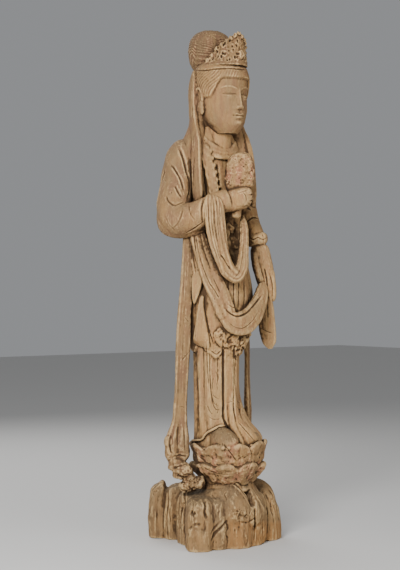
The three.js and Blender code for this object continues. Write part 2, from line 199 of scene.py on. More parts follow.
def limb(stations, facing, sides=40, steps=120, square=1.0, ends=0.12, outer=None, bow=0.0):
    """A form drawn along a line of stations of x, y, z, half width and half thickness. Its width lies across the line
    and across facing. It narrows over a share of its length at both ends. outer(u, t) raises its outer face, by
    centimetres, at u across from -1 to 1 and t along, and bow draws its sides back."""
    stations = np.array([row if len(row) == 5 else (*row, row[3]) for row in stations], float)
    chord = np.concatenate([[0], np.cumsum(np.linalg.norm(np.diff(stations[:, :3], axis=0), axis=1))])
    rows = np.column_stack([chord / chord[-1], stations])

    def place(turn, t, out):
        values = read(rows, t)
        centre, width, thickness = values[..., :3], values[..., 3], values[..., 4]
        before, after = np.clip(t - 1e-3, 0, 1), np.clip(t + 1e-3, 0, 1)
        tangent = unit(read(rows, after)[..., :3] - read(rows, before)[..., :3])
        across = unit(np.cross(tangent, unit(facing(centre))))
        face = unit(np.cross(across, tangent))
        end = np.clip(1 - np.minimum(t, 1 - t) / ends, 0, BLUNT_TIP)
        size = np.sqrt(1 - end ** 2) * out
        u, w = power(np.cos(turn), square), power(np.sin(turn), square)
        lift = thickness * size * w
        if outer is not None:
            lift = lift + outer(u, t) * np.clip(w * 2.5, 0, 1) * size
        lift = lift - bow * (u * width * size) ** 2
        where = centre + across * (u * width * size)[..., None] + face * lift[..., None]
        return where[..., 0], where[..., 1], where[..., 2]

    return skin(sides, steps, place)


def lump(centre, half_sizes, turn=0.0, shape=1.0, detail=32, push=None):
    """A round form with its own half sizes, turned about Z and moved to its centre. A shape below 1 is squarer, and
    push changes the form while its half sizes are still 1."""
    cos, sin = math.cos(math.radians(turn)), math.sin(math.radians(turn))

    def place(around, t, out):
        up = -np.cos(np.pi * t)
        r = np.sqrt(np.maximum(1 - up ** 2, 0)) * out
        x, y, z = power(r * np.sin(around), shape), power(-r * np.cos(around), shape), power(up, shape)
        if push is not None:
            x, y, z = push(x, y, z)
        x, y, z = x * half_sizes[0], y * half_sizes[1], z * half_sizes[2]
        return x * cos - y * sin + centre[0], x * sin + y * cos + centre[1], z + centre[2]

    return skin(detail, detail // 2, place)


# Blender objects

def deselect():
    """Leaves edit mode, and leaves nothing selected."""
    if bpy.context.object and bpy.context.object.mode != "OBJECT":
        bpy.ops.object.mode_set(mode="OBJECT")
    bpy.ops.object.select_all(action="DESELECT")


def choose(piece):
    """Makes a piece the active one and the only one selected."""
    deselect()
    piece.select_set(True)
    bpy.context.view_layer.objects.active = piece


def modify(piece, kind, **values):
    """Adds a modifier to the active piece, with its values, and applies it."""
    bpy.ops.object.modifier_add(type=kind)
    modifier = piece.modifiers[-1]
    for name, value in values.items():
        setattr(modifier, name, value)
    bpy.ops.object.modifier_apply(modifier=modifier.name)


def make_object(name, form):
    """An object from a form's points and faces."""
    points, faces = form
    mesh = bpy.data.meshes.new(name)
    mesh.from_pydata((points * CM + [0, 0, LOTUS_TOP]).tolist(), [], faces)
    piece = bpy.data.objects.new(name, mesh)
    bpy.context.scene.collection.objects.link(piece)
    return piece


def one_block(name, forms, voxel, smooth):
    """Joins closed forms into one block of wood with a single skin."""
    deselect()
    parts = [make_object(name, form) for form in forms]
    for part in parts:
        part.select_set(True)
    bpy.context.view_layer.objects.active = parts[0]
    if len(parts) > 1:
        bpy.ops.object.join()
    piece = bpy.context.object
    piece.name = piece.data.name = name
    bpy.ops.object.mode_set(mode="EDIT")
    bpy.ops.mesh.select_all(action="SELECT")
    bpy.ops.mesh.normals_make_consistent(inside=False)
    bpy.ops.object.mode_set(mode="OBJECT")
    even_skin(piece, voxel, smooth)
    return piece


def even_skin(piece, voxel, smooth):
    """Remeshes the active piece into even squares and softens it a little."""
    modify(piece, "REMESH", mode="VOXEL", voxel_size=voxel, adaptivity=0.0)
    modify(piece, "SMOOTH", factor=0.5, iterations=smooth)


class Surface:
    """A piece's points and normals in centimetres, as arrays that the chisel works on."""

    def __init__(self, piece):
        self.piece = piece
        mesh = piece.data
        self.points = (self.column(mesh.vertices, "co", 3) - [0, 0, LOTUS_TOP]) / CM
        self.edges = self.column(mesh.edges, "vertices", 2, np.int32)
        self.faces = self.column(mesh.loops, "vertex_index", 1, np.int32).reshape(-1, 4)
        self.count = np.maximum(np.bincount(self.edges.ravel(), minlength=len(self.points)), 1)
        # painted shade in each point's cuts, holes and splits, which the material darkens
        self.stain_and_crevice_shade = np.zeros(len(self.points))
        self.floor = None
        self.refresh()

    @staticmethod
    def column(rows, name, width, kind=float):
        """One property of a mesh's rows, as an array."""
        values = np.empty(len(rows) * width, kind)
        rows.foreach_get(name, values)
        return values.reshape(-1, width)

    def refresh(self):
        """Writes the points back and reads the new normals."""
        if self.floor is not None:
            self.points[:, 2] = np.maximum(self.points[:, 2], self.floor)
        mesh = self.piece.data
        mesh.vertices.foreach_set("co", (self.points * CM + [0, 0, LOTUS_TOP]).ravel())
        mesh.update()
        self.normals = self.column(mesh.vertex_normals, "vector", 3)

    def blur(self, values, times):
        """Values evened out over each point's neighbours, that many times."""
        values = np.array(values, float)
        flat = values.reshape(len(values), -1)
        a, b = self.edges.T
        for _ in range(times):
            for k in range(flat.shape[1]):
                total = np.bincount(a, flat[b, k], len(flat)) + np.bincount(b, flat[a, k], len(flat))
                flat[:, k] = 0.5 * flat[:, k] + 0.5 * total / self.count
        return flat.reshape(values.shape)

    def raise_by(self, height):
        """Moves each point outwards by a height in centimetres."""
        self.points += self.normals * np.asarray(height)[:, None]
        self.refresh()

    def from_view(self, azimuth=VIEW):
        """Each point's s and z in the drawing from an azimuth, and how far it faces that way."""
        eye, side = eye_at(azimuth)
        out = directions(azimuth)[1]
        ray = self.points - eye
        share = -(eye @ out) / (ray @ out)
        drawn_at = eye + ray * share[:, None]
        return drawn_at @ side, drawn_at[:, 2], self.normals @ out


def eye_at(azimuth):
    """Where a drawing is seen from, and its direction to the right."""
    side, out = directions(azimuth)
    return out * EYE_DISTANCE + [0, 0, EYE_HEIGHT] - side * (EYE_ASIDE if azimuth == VIEW else 0.0), side


def stroke(kind):
    """Makes strokes of a kind, each from a half width, a depth and a drawn line given as s, z, s, z and so on."""
    return lambda half_width, depth, *line: (kind, half_width, depth, np.reshape(line, (-1, 2)).astype(float))


# A groove is cut in, a ridge stands out, and a fold is a lip of cloth that stands out on the line's left
groove, ridge, fold = stroke("groove"), stroke("ridge"), stroke("fold")
STROKE_STEP = 0.12  # from point to point of a stroke's line
MOST_PAIRS = 4000000  # of surface and line points, measured at once
# How unevenly a stroke is cut, the share of its line that an end fades over, and its reach in half widths
UNEVEN_WIDTH, UNEVEN_DEPTH, FADE_SHARE, REACH = 0.25, 0.3, 0.16, 1.6


def trace(tree, drawing, azimuth):
    """A drawn line, laid on the surface as it is seen from the azimuth."""
    if len(drawing) == 1:  # a dot
        drawing = np.repeat(drawing, 2, axis=0) + [[0, 0], [0, 0.01]]
    chord = np.concatenate([[0], np.cumsum(np.linalg.norm(np.diff(drawing, axis=0), axis=1))])
    count = max(int(chord[-1] / STROKE_STEP), 2)
    line = read(np.column_stack([chord, drawing]), np.linspace(0, chord[-1], count))
    eye, side = eye_at(azimuth)
    hits, normals = [], []
    for s, z in line:
        ray = side * s + [0, 0, z] - eye
        hit, normal, _, _ = tree.ray_cast(Vector(eye), Vector(ray).normalized())
        if hit is not None:
            hits.append(hit[:])
            normals.append(normal[:])
    return np.array(hits), np.array(normals)


def chisel(surface, strokes, azimuth=VIEW):
    """Cuts strokes into the surface, as they are seen from an azimuth."""
    tree = BVHTree.FromPolygons(surface.points.tolist(), surface.faces.tolist())
    height = np.zeros(len(surface.points))
    for number, (kind, width, depth, drawing) in enumerate(strokes):
        line, facing = trace(tree, drawing, azimuth)
        if len(line) < 2:
            continue
        tangent = unit(np.gradient(line, axis=0))
        low, high = line.min(0) - width, line.max(0) + width
        index = np.flatnonzero(np.all((surface.points > low) & (surface.points < high), axis=1))
        if not len(index):
            continue
        along = np.arange(len(line)) * STROKE_STEP
        steady = noise(np.stack([along * 0.5, 0 * along, 0 * along + number], -1), 55)
        for block in np.array_split(index, max(len(index) * len(line) // MOST_PAIRS, 1)):
            apart = ((surface.points[block, None, :] - line[None]) ** 2).sum(2)
            nearest = apart.argmin(1)
            offset = surface.points[block] - line[nearest]
            offset -= tangent[nearest] * (offset * tangent[nearest]).sum(1, keepdims=True)
            same = (surface.normals[block] * facing[nearest]).sum(1) > 0.1
            left = (np.cross(facing[nearest], tangent[nearest]) * offset).sum(1)
            # a hand never cuts quite evenly, and a stroke runs out at its ends and on surfaces that turn away
            wide = width * (1 + UNEVEN_WIDTH * steady[nearest])
            x = np.linalg.norm(offset, axis=1) / wide
            end = np.minimum(nearest, len(line) - 1 - nearest) / max(FADE_SHARE * len(line), 1)
            fade = np.clip(end + 0.12, 0, 1) * same * (np.sqrt(apart.min(1)) < width * REACH)
            if kind == "fold":
                x = left / wide
                lip = np.where(x > 0, np.clip(1 - x, 0, 1) ** 1.5, 0.0)
                under = np.where(x <= 0, -0.7 * np.clip(1 + x / 0.45, 0, 1) ** 2, 0.0)
                made = (lip + under) * smoothstep(np.abs(x), 0.0, 0.08)
            else:
                made = np.clip(1 - x ** 2, 0, 1) ** 2 * (1 if kind == "ridge" else -1)
            cut = depth * made * fade * (1 + UNEVEN_DEPTH * steady[nearest])
            height[block] += cut
            # painted shade in the cut, darker the deeper it goes
            surface.stain_and_crevice_shade[block] = np.maximum(surface.stain_and_crevice_shade[block], np.clip(-cut * 1.3 - 0.22, 0, 0.75))
    surface.raise_by(height)


def sink(surface, *holes):
    """Sinks round holes, each of s, z, radius and depth."""
    chisel(surface, [groove(radius, depth, s, z) for s, z, radius, depth in holes])


def pock(surface, size, depth, share, seed, stretch=1.4, rim=0.0):
    """Eats close-set holes into the surface, as insects and rot do, where share is above nought."""
    p = surface.points * [1 / size, 1 / size, 1 / (size * stretch)]
    near = cells(p, seed)
    ragged = 0.34 + 0.16 * noise(p * 1.7, seed + 5)
    hole = np.clip(1 - (near / ragged) ** 2, 0, 1) * smoothstep(noise(p * 0.6, seed + 3), -0.3, 0.2) * share
    # painted shade in the holes
    surface.stain_and_crevice_shade = np.maximum(surface.stain_and_crevice_shade, hole * np.clip(depth * 2, 0, 0.6))
    surface.raise_by(-depth * hole + rim * bump(near - 0.5, 0.1) * share)


WORM_RADIUS, WORM_DEPTH = 0.08, 0.2


def worm_holes(surface, count, seed):
    """Bores small holes at scattered points."""
    random = np.random.default_rng(seed)
    height = np.zeros(len(surface.points))
    order = np.argsort(surface.points[:, 2])
    heights = surface.points[order, 2]
    for centre in surface.points[random.choice(len(surface.points), count)]:
        size = WORM_RADIUS * random.uniform(0.7, 1.5)
        low, high = np.searchsorted(heights, (centre[2] - 1.5 * size, centre[2] + 1.5 * size))
        slab = order[low:high]
        x = np.linalg.norm((surface.points[slab] - centre) * [1, 1, 0.75], axis=1) / size
        height[slab] -= WORM_DEPTH * np.clip(1 - x ** 2, 0, 1)
    # painted shade in the holes
    surface.stain_and_crevice_shade = np.maximum(surface.stain_and_crevice_shade, np.clip(-height * 3.0, 0, 0.8))
    surface.raise_by(height)


def weather(surface, grain, waves, splits, seed):
    """Worn fibre and drying splits along the trunk, and the slow unevenness of hand work and age."""
    p = surface.points
    fibre = layered(p * [2.8, 2.8, 0.25], 3, seed)
    slow = layered(p * [0.35, 0.35, 0.2], 3, seed + 9)
    facets = noise(p * [1.3, 1.3, 0.9], seed + 21)
    lumpy = noise(p * [3.2, 3.2, 2.4], seed + 22)
    sheet = noise(p * [0.75, 0.75, 0.07] + [0, 0, 4], seed + 33)
    gate = smoothstep(noise(p * [0.22, 0.22, 0.16], seed + 40), 0.02, 0.3)
    split = bump(sheet, 0.06) * gate * smoothstep(-np.abs(surface.normals[:, 2]), -0.6, -0.3)
    # painted shade in the splits
    surface.stain_and_crevice_shade = np.maximum(surface.stain_and_crevice_shade, split * 0.6 * min(splits * 6, 1))
    surface.raise_by(grain * fibre + waves * slow + 0.03 * facets + 0.02 * lumpy - splits * split)


def new_skin(surface):
    """Gives a roughly cut piece a fresh even skin, without the creases where its sides met."""
    choose(surface.piece)
    even_skin(surface.piece, cut_size(), 1)
    fresh = Surface(surface.piece)
    fresh.floor = surface.floor
    return fresh


PIECES = {}  # the carved surfaces, by short names


def finish_piece(name, surface):
    """Shades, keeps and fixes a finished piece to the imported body."""
    piece = surface.piece
    choose(piece)
    bpy.ops.object.shade_smooth()
    PIECES[name] = surface
    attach(piece, "root")
    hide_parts(NODE)


# The forms of the figure

ROBE_ROWS = [
    [-0.8, 0.2, -0.6, 6.9, 6.2], [1.5, 0.1, -0.3, 6.4, 5.6], [5, -0.1, 0, 6.0, 4.9], [12, -0.2, 0.2, 5.9, 4.7],
    [19, -0.2, 0.2, 6.0, 4.8], [26, -0.2, 0.3, 6.6, 5.3], [32, -0.2, 0.6, 6.7, 5.3], [38, -0.2, 1.2, 6.2, 5.0],
    [44, -0.1, 2.0, 5.9, 4.9], [50, 0, 2.7, 6.1, 5.0], [56, 0, 3.2, 7.1, 4.9], [60, 0, 3.4, 8.2, 4.7],
    [62.6, 0, 3.4, 7.5, 4.1], [64.6, 0, 3.1, 5.0, 3.5], [66.6, 0, 2.5, 3.3, 3.0],
]
# The hem of the upper skirt, as its height at each angle from the front
LEDGE_ROWS = [[-180, 20.5], [-120, 19.2], [-98, 19.2], [-74, 20.7], [-60, 19.0], [-42, 17.9], [-28, 19.4], [-10, 21.4],
              [10, 20.6], [40, 19.4], [80, 20.8], [120, 19.6], [180, 20.5]]
SASH = (-25.0, -1.5)  # the strip down the lower skirt, from angle to angle


def robe_point(angle, z, out=1.0):
    """A point on the robe at an angle in degrees from the front and a height."""
    x, y, half_width, half_depth = np.moveaxis(read(ROBE_ROWS, z), -1, 0)
    turn = np.radians(angle)
    back = smoothstep(np.abs(angle), 100, 130)
    side = smoothstep(np.abs(angle), 20, 60) * (1 - back)
    ledge = read(LEDGE_ROWS, angle)[..., 0] + 0.25 * np.sin(angle * 0.21)
    upper = smoothstep(z - ledge, -0.2, 0.2)
    wander = noise(np.stack([angle * 0.04, z * 0.11, 0 * z + 3.1], -1), 71)
    relief = 0.6 * upper * (1 - smoothstep(z, 30, 46))
    waves = np.cos(np.radians(angle * 7 + 20 * np.sin(z * 0.07)) + wander)
    relief = relief + 0.5 * waves * back * (1 - smoothstep(z, 50, 63))
    waves = np.cos(np.radians(angle * 11 + 3.0 * z) + 2 * wander)
    relief = relief + 0.24 * waves * side * smoothstep(z, 24, 30) * (1 - smoothstep(z, 46, 56))
    lower = (1 - upper) * smoothstep(z, 0.5, 4)
    relief = relief + 0.17 * np.cos(np.radians(angle * 13) + 1.5 * wander) * side * lower
    sash = smoothstep(angle, SASH[0] - 1.5, SASH[0] + 1) * (1 - smoothstep(angle, SASH[1] - 1, SASH[1] + 1.5))
    relief = relief + 0.42 * sash * (1 - upper) * smoothstep(z, 3.2, 3.9)
    band = smoothstep(angle, 2, 5) * (1 - smoothstep(angle, 24, 29))
    relief = relief + 0.3 * band * (1 - upper) * smoothstep(z, 3, 6)
    relief = relief - 1.0 * bump(angle - 56, 19) * lower * smoothstep(z, 5, 8)
    x = x + out * (half_width + relief) * np.sin(turn)
    return x, y - out * (half_depth + relief) * np.cos(turn), z + 0.0 * angle


def on_robe(s, z, lift):
    """The point of the robe that is seen at s and z in the front drawing, lifted off it."""
    side = directions()[0]
    angles = np.linspace(VIEW - 85, VIEW + 85, 200)
    points = np.stack(robe_point(angles, np.full(200, float(z))), -1)
    rising = np.maximum.accumulate(points @ side)
    point = np.array([np.interp(s, rising, points[:, n]) for n in range(3)])
    return point + unit(from_axis(point)) * lift


def laid(*rows):
    """Stations for a limb on the robe, from rows of s, z, lift and sizes."""
    return [(*on_robe(*row[:3]), *row[3:]) for row in rows]


def robe_forms():
    """The trunk with the neck, the collar, the lapel, the ornaments and the cloth over the feet."""
    low, high = ROBE_ROWS[0][0], ROBE_ROWS[-1][0]
    trunk = skin(420, 420, lambda turn, t, out: robe_point(around_front(turn), low + (high - low) * t, out))
    throat = limb([(0, 2.4, 58.0, 3.5), (0, 1.9, 61.5, 3.3), (0, 1.2, 64.5, 2.9), (0, 0.6, 67.5, 3.0)],
                  towards(0, -1), sides=60, steps=60)
    forms = [trunk, throat]
    # The collar: a broad flat band round the neck's opening, with shallow ridges
    ring = []
    for a in np.radians(np.linspace(-118, 118, 25)):
        z = 60.5 + 3.9 * (1 - math.cos(a)) ** 1.15
        ring.append((5.0 * math.sin(a), 2.9 - 4.5 * math.cos(a), min(z, 65.0), 1.5, 0.4))
    forms.append(limb(ring, lambda centre: unit(from_axis(centre)) * [1, 1, 0] + [0, 0, 0.55], sides=60, steps=240,
                      square=0.6, ends=0.03,
                      outer=lambda u, t: -0.13 * bump(u - 0.3, 0.13) - 0.1 * bump(u + 0.35, 0.13)))
    # The lapel beside the bud, with its scalloped edge
    lapel = laid((-3.8, 62.6, -0.4, 0.9, 0.4), (-3.5, 60.8, 0.3, 1.15, 0.5), (-2.6, 57.5, 0.4, 1.1, 0.55),
                 (-1.9, 54.0, 0.4, 1.05, 0.55), (-1.6, 51.4, 0.35, 0.9, 0.5))
    forms.append(limb(lapel, towards(-0.6, -0.8), sides=40, steps=90, square=0.6,
                      outer=lambda u, t: 0.1 * np.cos(2 * np.pi * 6 * t + 2 * u) * u - 0.14 * bump(u - 0.45, 0.14)))
    for n in range(13):
        t = n / 12
        where = on_robe(-2.35 + 1.7 * t + 0.22 * (-1) ** n, 60.9 - 9.0 * t, 0.85)
        forms.append(lump(where, (0.42, 0.36, 0.46), detail=16))
    forms += ornaments()
    # The thin hem over the right foot, and the broad slope of cloth over the left one
    hem = ((-6.0, 0.5), (-4.9, 0.8), (-3.9, 1.2), (-3.3, 2.2), (-1.85, 3.2), (-0.4, 3.9), (0.8, 4.0))
    hem = laid(*[(s, z, 0.25 + 0.5 * smoothstep(-z, -4.0, 0.5), 0.26, 0.2) for s, z in hem])
    forms.append(limb(hem, from_axis, sides=24, steps=90))
    forms.append(limb(drawn((1.7, 13.0, 3.5, 1.0, 0.7), (2.0, 9.5, 3.9, 1.3, 1.0), (2.7, 6.4, 4.3, 1.8, 1.3),
                            (3.7, 3.6, 4.8, 2.3, 1.5), (4.8, 1.0, 5.0, 2.6, 1.6), (5.4, -1.0, 4.8, 2.6, 1.6)),
                      towards(-0.2, -0.98), sides=70, steps=110, square=0.7,
                      outer=lambda u, t: -0.26 * bump(u - 0.36, 0.13) * smoothstep(t, 0.3, 0.6)))
    forms.append(limb(drawn((3.6, 13.0, -0.6, 0.8, 0.8), (4.1, 9.2, 0.0, 1.0, 1.0), (4.6, 6.6, 0.8, 1.4, 1.3),
                            (5.4, 4.0, 1.4, 1.9, 1.6), (6.3, 1.6, 1.8, 2.35, 1.8), (6.9, -0.8, 1.8, 2.3, 1.8)),
                      towards(0.35, -0.94), sides=70, steps=110, square=0.85,
                      outer=lambda u, t: -0.14 * bump(u + 0.1, 0.2) * smoothstep(t, 0.3, 0.6)))
    return forms


def rosette(centre, size, turn):
    """A small flower in relief."""
    petals = 5
    across, out = directions(turn)
    forms = [lump(centre + out * 0.16 * size, (0.4 * size, 0.34 * size, 0.4 * size), turn=turn, detail=16)]
    for n in range(petals):
        b = 2 * math.pi * (n + 0.3) / petals
        where = centre + (across * math.cos(b) + np.array([0, 0, math.sin(b)])) * 0.72 * size
        forms.append(lump(where, (0.56 * size, 0.3 * size, 0.56 * size), turn=turn, shape=0.8, detail=16))
    return forms


def ornaments():
    """Jewelled hangings on the belly, and the knots and rosettes below the outer scarf."""
    forms = []
    for s, z, size in ((2.1, 41.7, 1.15), (1.5, 44.6, 0.8), (2.9, 39.0, 0.75), (4.3, 21.0, 1.25), (3.9, 18.9, 0.8),
                       (5.0, 22.4, 0.8), (0.1, 22.2, 0.95), (2.4, 22.0, 0.85)):
        forms += rosette(on_robe(s, z, 0.3), size, VIEW + 12)
    for line in (((1.2, 46.2), (0.9, 43.5), (1.3, 41), (2.2, 38.8), (3.2, 38.0)),
                 ((2.8, 45.8), (3.3, 43.2), (3.4, 40.8), (3.1, 38.6)),
                 ((-1.4, 23.4), (-0.4, 21.0), (1.2, 20.6), (2.4, 21.2), (3.6, 20.2)),
                 ((-0.9, 24.0), (0.4, 22.6), (2.0, 23.2)),
                 ((3.2, 21.8), (3.0, 19.4), (3.5, 17.6)), ((5.2, 21.4), (5.3, 19.4), (4.9, 18.0))):
        forms.append(limb(laid(*[(s, z, 0.25, 0.62, 0.36) for s, z in line]), from_axis, sides=16, steps=50,
                          outer=lambda u, t: 0.1 * np.cos(2 * np.pi * 4 * t)))
    # A leaf-shaped fold hangs on the skirt's right side, and under it a fold flares out to the hem
    forms.append(limb(laid((-4.5, 37.4, 0.1, 1.0, 0.4), (-4.65, 35.6, 0.6, 1.3, 0.42), (-4.85, 33, 0.7, 1.15, 0.42),
                           (-5.2, 30.8, 0.65, 0.7, 0.4), (-5.5, 29.0, 0.5, 0.25, 0.3)), from_axis, sides=40, steps=60,
                      square=0.5, outer=lambda u, t: -0.12 * bump(u - 0.2, 0.2) - 0.08 * bump(u + 0.5, 0.2)))
    for s, z, lean in ((-4.6, 37.3, 0.5), (-4.0, 36.4, 0.3)):  # the small gathered fold above the leaf
        gather = laid((s - 1.3, z - 0.1, 0.5, 0.5, 0.4), (s, z + 0.3 * lean, 0.8, 0.55, 0.42),
                      (s + 1.4, z - lean, 0.5, 0.4, 0.35))
        forms.append(limb(gather, from_axis, sides=20, steps=40))
    forms.append(limb(laid((-4.1, 31.0, 0.1, 0.4, 0.35), (-4.25, 28.0, 0.3, 0.75, 0.42), (-4.2, 24.6, 0.4, 1.25, 0.45),
                           (-4.1, 21.6, 0.45, 1.85, 0.45), (-4.05, 20.2, 0.4, 2.0, 0.35)), from_axis,
                      sides=60, steps=60, square=0.5, ends=0.05, outer=lambda u, t: -0.1 * bump(u + 0.2, 0.14) * t))
    return forms


def sleeve_outer(strength, turns, lean):
    """Creases that wind round a sleeve."""
    def outer(u, t):
        creases = np.cos(2 * np.pi * (turns * t + lean * u) + 2 * np.sin(5 * t + u))
        return strength * creases * smoothstep(t, 0.05, 0.2)
    return outer


def arm_forms():
    """Both sleeves, with what the right hand holds and the left hand."""
    right = [
        (-5.0, 4.0, 63.2, 1.9), (-7.3, 4.0, 60.6, 2.9), (-9.2, 3.6, 54, 3.4), (-10.6, 2.5, 48.8, 3.6),
        (-10.8, 1.3, 46.6, 3.5), (-9.0, -1.4, 46.9, 3.1), (-6.4, -4.4, 48.8, 2.6), (-3.6, -6.0, 50.2, 1.9),
    ]
    left = [
        (5.2, 4.0, 63.2, 1.9), (7.5, 4.1, 60.4, 2.9), (9.1, 4.6, 54, 3.25), (9.6, 4.7, 49.6, 3.1),
        (9.4, 2.9, 46.0, 2.7), (9.1, 0.4, 43.6, 2.3), (9.1, -0.6, 41.6, 2.0),
    ]
    elbow = limb([(-10.6, 3.6, 50, 2.6), (-11.4, 2.5, 45.7, 2.7), (-8.6, -0.4, 45.1, 2.2), (-5.4, -3.2, 47.2, 1.6)],
                 from_axis, steps=60)
    forms = [
        limb(right, from_axis, sides=90, steps=240, ends=0.1, outer=sleeve_outer(0.07, 5, 0.5)),
        limb(left, from_axis, sides=80, steps=200, ends=0.08, outer=sleeve_outer(0.08, 4, 0.4)), elbow,
    ]
    return forms + bud_forms() + left_hand_forms()


def bud_forms():
    """The worn block of the right hand, and the bud that it holds."""
    fist = lump(seen(2.95, 50.6, 5.6), (3.3, 2.4, 2.25), turn=VIEW, shape=0.62, detail=48,
                push=lambda x, y, z: (x, y, z + 0.34 * x))
    wrist = limb(drawn((-2.6, 49.6, 6.6, 2.2), (-0.6, 50.0, 6.6, 2.3), (1.6, 50.6, 6.3, 2.3)), towards(0, -1), steps=30)
    bud = lump(seen(3.55, 56.3, 3.6), (3.0, 2.6, 4.1), turn=VIEW, shape=0.6, detail=48,
               push=lambda x, y, z: (x * (1 - 0.1 * z) + 0.04, y, z + 0.1 * x))
    stem = limb(drawn((2.6, 46.8, 4.2, 1.1), (2.8, 49, 4.6, 1.3), (3.0, 52.5, 4.4, 1.6)), towards(0, -1), steps=24)
    return [fist, wrist, bud, stem]


def left_hand_forms():
    """The cuff, the palm, the fingers and the thumb of the hanging hand."""
    facing = towards(-0.62, -0.78)
    forms = []
    ring = [(9.2 + 1.5 * math.sin(a), -0.35 - 1.45 * math.cos(a), 42.75 + 0.25 * math.sin(a + 0.5),
             0.95 * (1 + 0.08 * math.sin(3 * a)), 1.3 * (1 + 0.1 * math.sin(4 * a + 1)))
            for a in np.linspace(0, 2 * np.pi, 33)]
    forms.append(limb(ring, towards(0, 0, 1), sides=30, steps=120, ends=0.01, square=0.8))
    forms.append(lump((9.1, -0.3, 42.5), (2.2, 2.1, 1.3)))
    forms.append(limb(drawn((7.9, 41.9, -5.2, 1.9, 1.6), (8.55, 38.2, -4.7, 2.15, 1.7), (9.2, 35.2, -4.1, 2.1, 1.6),
                            (9.8, 32.2, -3.6, 1.7, 1.4), (10.2, 29.9, -3.4, 1.1, 1.0)),
                      facing, sides=60, steps=70, square=0.85))
    for n, tip in enumerate((31.2, 29.9, 29.2, 29.5)):
        s, end = 7.8 + 0.9 * n, 8.9 + 0.68 * n
        forms.append(limb(drawn((s, 36.4, -3.6, 0.7), (0.4 * s + 0.6 * end, 33.8, -2.9, 0.74), (end, 31.6, -2.6, 0.7),
                                (end, tip, -2.9, 0.55)), facing, sides=24, steps=50))
    thumb = drawn((7.2, 40.2, -4.2, 0.8), (7.2, 37.6, -3.3, 0.85), (7.8, 35.2, -2.5, 0.8), (8.5, 33.4, -2.1, 0.65))
    return forms + [limb(thumb, facing, sides=20, steps=50)]


def pleats(count, depth, sharp=0.7, drift=0.0):
    """Lengthwise pleats on a cloth's outer face, that wander a little along it."""
    def outer(u, t):
        across = u + 0.12 * np.sin(7 * t + 2 * u) + 0.05 * np.sin(17 * t + 1)
        return depth * (np.abs(np.cos(0.5 * np.pi * count * (across + 1 + drift * t))) ** sharp - 1)
    return outer


def scarf_forms():
    """The inner and the outer loop, the strand between them, the scarf's tail and its panel."""
    front = towards(-0.45, -0.89)
    inner = drawn(
        (-2.3, 51.0, 7.4, 1.5, 1.0), (-2.15, 50.8, 8.6, 1.9, 1.05), (-1.8, 48.6, 9.3, 2.1, 1.0),
        (-1.4, 45.4, 9.3, 2.1, 1.0), (-0.8, 41.4, 8.9, 1.85, 1.0), (0.2, 38.0, 8.3, 1.6, 1.1),
        (1.4, 35.7, 7.8, 1.6, 1.2), (2.7, 34.9, 7.2, 1.55, 1.2), (3.8, 36.3, 6.4, 1.4, 1.1),
        (4.3, 39.4, 5.0, 1.1, 1.0), (4.5, 43.4, 3.4, 0.95, 0.9), (4.3, 47.5, 2.2, 0.9, 0.8))
    strand = drawn(
        (-5.5, 47.2, 4.6, 1.3, 0.8), (-5.1, 43.4, 5.3, 1.6, 0.9), (-3.8, 38.7, 6.0, 1.75, 0.95),
        (-2.1, 34.2, 6.9, 2.1, 1.0), (-0.4, 30.2, 7.3, 2.1, 1.05), (0.9, 26.8, 7.2, 1.9, 1.0),
        (1.8, 24.8, 6.6, 1.2, 0.7))
    swag = drawn(
        (-0.8, 28.8, 6.9, 1.5, 0.8), (1.0, 26.4, 7.2, 1.7, 1.0), (2.5, 25.3, 6.9, 2.35, 1.1),
        (4.1, 25.15, 6.2, 2.55, 1.1), (5.8, 26.2, 4.7, 2.3, 1.0), (7.3, 28.4, 2.2, 1.85, 0.95),
        (8.3, 30.9, -0.4, 1.45, 0.9), (8.8, 33.6, -2.2, 1.1, 0.8))
    tail = drawn(
        (8.8, 33.6, -2.8, 1.0, 0.8), (9.2, 30.0, -2.6, 1.5, 0.8), (9.5, 26.4, -2.7, 1.75, 0.75),
        (9.8, 23.2, -2.8, 1.75, 0.7), (10.1, 21.0, -2.9, 1.5, 0.65), (10.35, 19.4, -3.0, 1.15, 0.55))
    panel = drawn(
        (-6.6, 46.5, 3.6, 1.6, 0.9), (-6.0, 41, 4.2, 1.6, 0.9), (-5.4, 36.5, 4.8, 1.1, 0.8),
        (-5.2, 33.5, 5.0, 0.6, 0.5))
    return [
        limb(inner, front, sides=110, steps=360, square=0.66, outer=pleats(4, 0.2, 0.7)),
        limb(strand, front, sides=110, steps=260, square=0.6, outer=pleats(3, 0.17, 0.7, 0.2)),
        limb(swag, front, sides=110, steps=260, square=0.66, outer=pleats(2, 0.16, 0.6)),
        limb(tail, towards(-0.62, -0.78), sides=70, steps=120, square=0.7, outer=pleats(2, 0.12)),
        limb(panel, towards(-0.75, -0.66), sides=70, steps=120, square=0.8, outer=pleats(3, 0.24)),
    ]


